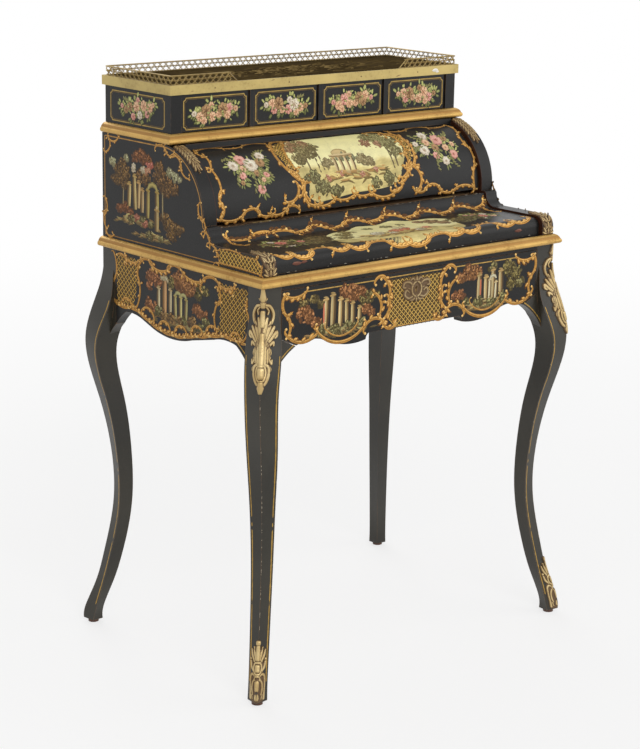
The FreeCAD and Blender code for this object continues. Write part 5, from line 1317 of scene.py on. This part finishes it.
knee = both((smooth_path(-5+711j, -16+708j, -25+696j, -24+684j, -15+674j), (3.2, 3.8, 3.2), 3.6),
            (smooth_path(-6+708j, -13+701j, -11+695j), (2.4, 2.0), 3.0),
            (smooth_path(-2+652j, -5+674j, -9+688j), (5, 5.5, 3.4), 4.0),
            (smooth_path(-4+650j, -14+670j, -19+681j), (5, 5.6, 3.6), 3.6),
            (smooth_path(-7+648j, -21+663j, -28+672j), (5, 5.2, 3.4), 3.3),
            (smooth_path(-8+644j, -24+655j, -35+663j, -37+657j, -32+654j), (4.8, 4.6, 3.4, 2.4), 3.4),
            (smooth_path(-10+638j, -22+645j, -29+647j, -30+642j), (4, 3.8, 2.4), 3.0),
            (smooth_path(-8+652j, -7.5+632j, -8+612j), (4, 4, 3.4), 3.8),
            (smooth_path(-14+648j, -14+632j, -15+616j), (3.8, 3.8, 2.6), 3.2),
            (smooth_path(-20+628j, -22+622j), (3.4, 2.6), 2.8),
            (smooth_path(-17+646j, -17.5+634j, -19+622j, -26+613j, -27+619j), (3.4, 3.2, 3, 2), 3.0),
            (smooth_path(-22+636j, -24+630j, -21+624j), (2.4, 2.2, 1.5), 2.4),
            (smooth_path(-12+613j, -19+607j, -19+596j, -13+585j, -5+579j), (3.4, 4.4, 4.6, 3.6), 3.0),
            (smooth_path(-21+610j, -25+604j, -22+598j), (2.0, 2.2, 1.2), 2.2))
knee += [(smooth_path(709j, 722j, 738j), (4.5, 7.5, 2.5), 3.4),
         (smooth_path(700j, 690j, 676j), (3, 3.4, 4), 4.2),
         (smooth_path(-8+722j, 716j, 8+722j), (2, 3, 2), 3.2), (ring(600j, 10.5, 13.5), 2.9, 3.9),
         (smooth_path(595j, 605j), (6, 6), 5.4), (smooth_path(584j, 576j, 567.5j), (5, 8, 3), 3.8),
         (smooth_path(662j, 636j, 612j), (5.6, 5, 4), 4.5), (smooth_path(648j, 616j), (18, 16), 0.7),
         (smooth_path(608j, 588j), (17, 13), 0.7)]
knee += [(np.array([place, place + 0.1j]), 1.3, 5.4) for place in (641j, 635j, 629j)]
toe = both((smooth_path(-3+80j, -6+91j, -8+100j), (3.4, 3.6, 1.8), 3.1),
           (smooth_path(-7+77j, -12+86j, -14+95j), (3.2, 3.6, 1.8), 2.9),
           (smooth_path(-5+94j, -9+99j), (2.2, 1.6), 2.6),
           (smooth_path(-8+60j, -14+66j, -16+77j), (3.2, 3.6, 2.4), 2.8), (np.array([-16+79j]), 3.6, 3.2),
           (smooth_path(-4+52j, -10+55j, -16+51j, -18+38j, -17+24j, -16+13j),
            (2.6, 3.2, 3, 3, 3.4, 4.0), 2.6),
           (smooth_path(-6+47j, -11+40j, -12+29j, -9+21j), (2.4, 3.2, 3.2, 2), 2.6),
           (smooth_path(-12+20j, -10+13j), (2.2, 1.8), 2.4))
toe += [(ring(66j, 7.2, 9.5), 2.4, 3.7), (smooth_path(62j, 70j), (3.2, 3.2), 4.5),
        (smooth_path(80j, 92j, 102j), (3.4, 3.2, 3.0), 3.5), (np.array([107j, 109j]), 4.4, 3.8),
        (ring(49j, 4.8, 4), 2.0, 3.1), (smooth_path(44j, 30j), (4.4, 2.8), 3.6),
        (smooth_path(16j, 20j), (7.5, 6), 2.5), (smooth_path(14j, 48j), (18, 16), 1.3),
        (smooth_path(56j, 84j), (14, 10), 1.2)]
knee = [(path.real * 0.84 + 1j * path.imag, half, tall) for path, half, tall in knee]
for side, hand in (("left", -1), ("right", 1)):
    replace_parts(cast(f"knee_casting_{side}", leg_face(hand), knee, -40+564j, 40+740j, "case"),
                f"knee_mount_{side}")
    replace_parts(cast(f"toe_casting_{side}", leg_face(hand), toe, -30+7j, 30+115j, "case", lift=0.15),
                f"toe_mount_{side}")


# ---------------------------------------------------------------- leaf mounts on the cheeks
# Long acanthus leaves of cast bronze, pinned over the front edge of each cheek: one hangs down the upper
# curve and one is folded over the nose above the table moulding.

def acanthus(length, wide, lobes):
    """A leaf: a midrib, and lobes that leave it in pairs, bend outwards and get shorter to the tip."""
    ribs = [(smooth_path(1j, 1j * length), (3.2, 3.0, 1.4), 3.0)]
    for number in range(lobes):
        root = length * (0.02 + 0.86 * number / lobes)
        reach = wide * (1.0 if number < lobes * 0.7 else 0.62)
        ribs += both((smooth_path(-1 + 1j * root, -0.5 * reach + 1j * (root + 4),
                                  -0.9 * reach + 1j * (root + 4.5 + length * 0.09)), (2.2, 3.5, 2.3), 2.5),
                     (smooth_path(-0.3 * reach + 1j * (root + 3), -0.55 * reach + 1j * (root + 9)),
                      (1.2, 1.8, 1.0), 2.6))
    return ribs


cheek_middle = 337.5
curve_radius = 122
nose_radius, nose_y, nose_z, nose_foot = 20, -215.5, 773, 14.5


def upper_curve(hand):
    """The front edge of a cheek on its big curve: up runs along the arc, down from its head."""
    def place(across, up, lift):
        angle = math.radians(77) - up / curve_radius
        return np.stack([hand * (cheek_middle + across), axis_y - (curve_radius + lift) * np.cos(angle),
                         axis_z + (curve_radius + lift) * np.sin(angle)], -1)
    return place


def nose_edge(hand):
    """The front edge of a cheek at its nose: up runs from the moulding up the front and over the round."""
    def place(across, up, lift):
        turn = np.clip((up - nose_foot) / nose_radius, 0, math.pi / 2)
        over = np.maximum(up - nose_foot - nose_radius * math.pi / 2, 0)
        y = nose_y - (nose_radius + lift) * np.cos(turn) + over
        z = nose_z + (nose_radius + lift) * np.sin(turn) - np.maximum(nose_foot - up, 0)
        return np.stack([hand * (cheek_middle + across), y, z], -1)
    return place


hanging_leaf = acanthus(76, 11.5, 8) + both((smooth_path(-3+2j, -9+3j, -10+8j), (2.5, 2.4, 1.4), 2.8))
folded_leaf = acanthus(77, 12.8, 6) + both((smooth_path(-2+3j, -9+3j, -13+5j), (2.8, 2.8, 1.8), 2.8),
                                           (smooth_path(-6+12j, -11+24j, -12+34j), (2, 2.4, 1.4), 2.6))
for side, hand in (("left", -1), ("right", 1)):
    for name, ground_of, leaf, length, low in (("hanging_leaf", upper_curve, hanging_leaf, 78, 0.5),
                                               ("folded_leaf", nose_edge, folded_leaf, 79, 0.4)):
        piece = cast(f"{name}_{side}", ground_of(hand), leaf, -13.4 + 1j * low, 13.4 + 1j * length, "case",
                     step=0.6, back=0.9, lift=0.2, dull=0.12)
        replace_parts(piece, "cheek_leaf_mounts" if name == "hanging_leaf" else "nose_mounts")


# ---------------------------------------------------------------- lock plate on the frieze drawer
# A pierced casting of scrolls around an oval ring, pinned over the keyhole in the middle of the front. It is
# of the same bronze as the other mounts, darker with dirt.

plate = both((smooth_path(-8+684j, -19+681j, -28+688j, -24+696j, -18+692j), (3.2, 4.0, 3.6, 2.2), 2.8),
             (smooth_path(-9+704j, -18+710j, -29+710j, -32+702j, -26+701j), (3.2, 4.0, 3.4, 2.2), 2.8),
             (smooth_path(-3+711j, -9+716j, -15+713j), (3.0, 3.4, 2.0), 2.6),
             (smooth_path(-2+682j, -8+677j, -15+677j), (3.0, 3.4, 2.0), 2.6),
             (smooth_path(-13+697j, -20+699j), (3.2, 2.2), 2.2))
plate += [(ring(696j, 11.5, 13.5), 3.0, 3.6), (smooth_path(709j, 713j, 719j), (4.0, 4.4, 2.2), 3.0),
          (smooth_path(684j, 679j, 674j), (4.0, 4.4, 2.2), 3.0), (smooth_path(692j, 700j), (10, 10), 1.6),
          (smooth_path(-20+688j, 20+688j), (9, 9), 0.7), (smooth_path(-22+704j, 22+704j), (9, 9), 0.7)]
keyhole = [(np.array([698.5j]), 2.5), (smooth_path(697j, 690j), 1.2)]
lock_plate = cast("lock_plate_casting", front_face(half_depth), plate, -37+669j, 37+723j, "frieze_drawer",
                  openings=keyhole, step=0.6, back=0.9, lift=0.15, dull=0.34)
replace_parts(lock_plate, "escutcheon")
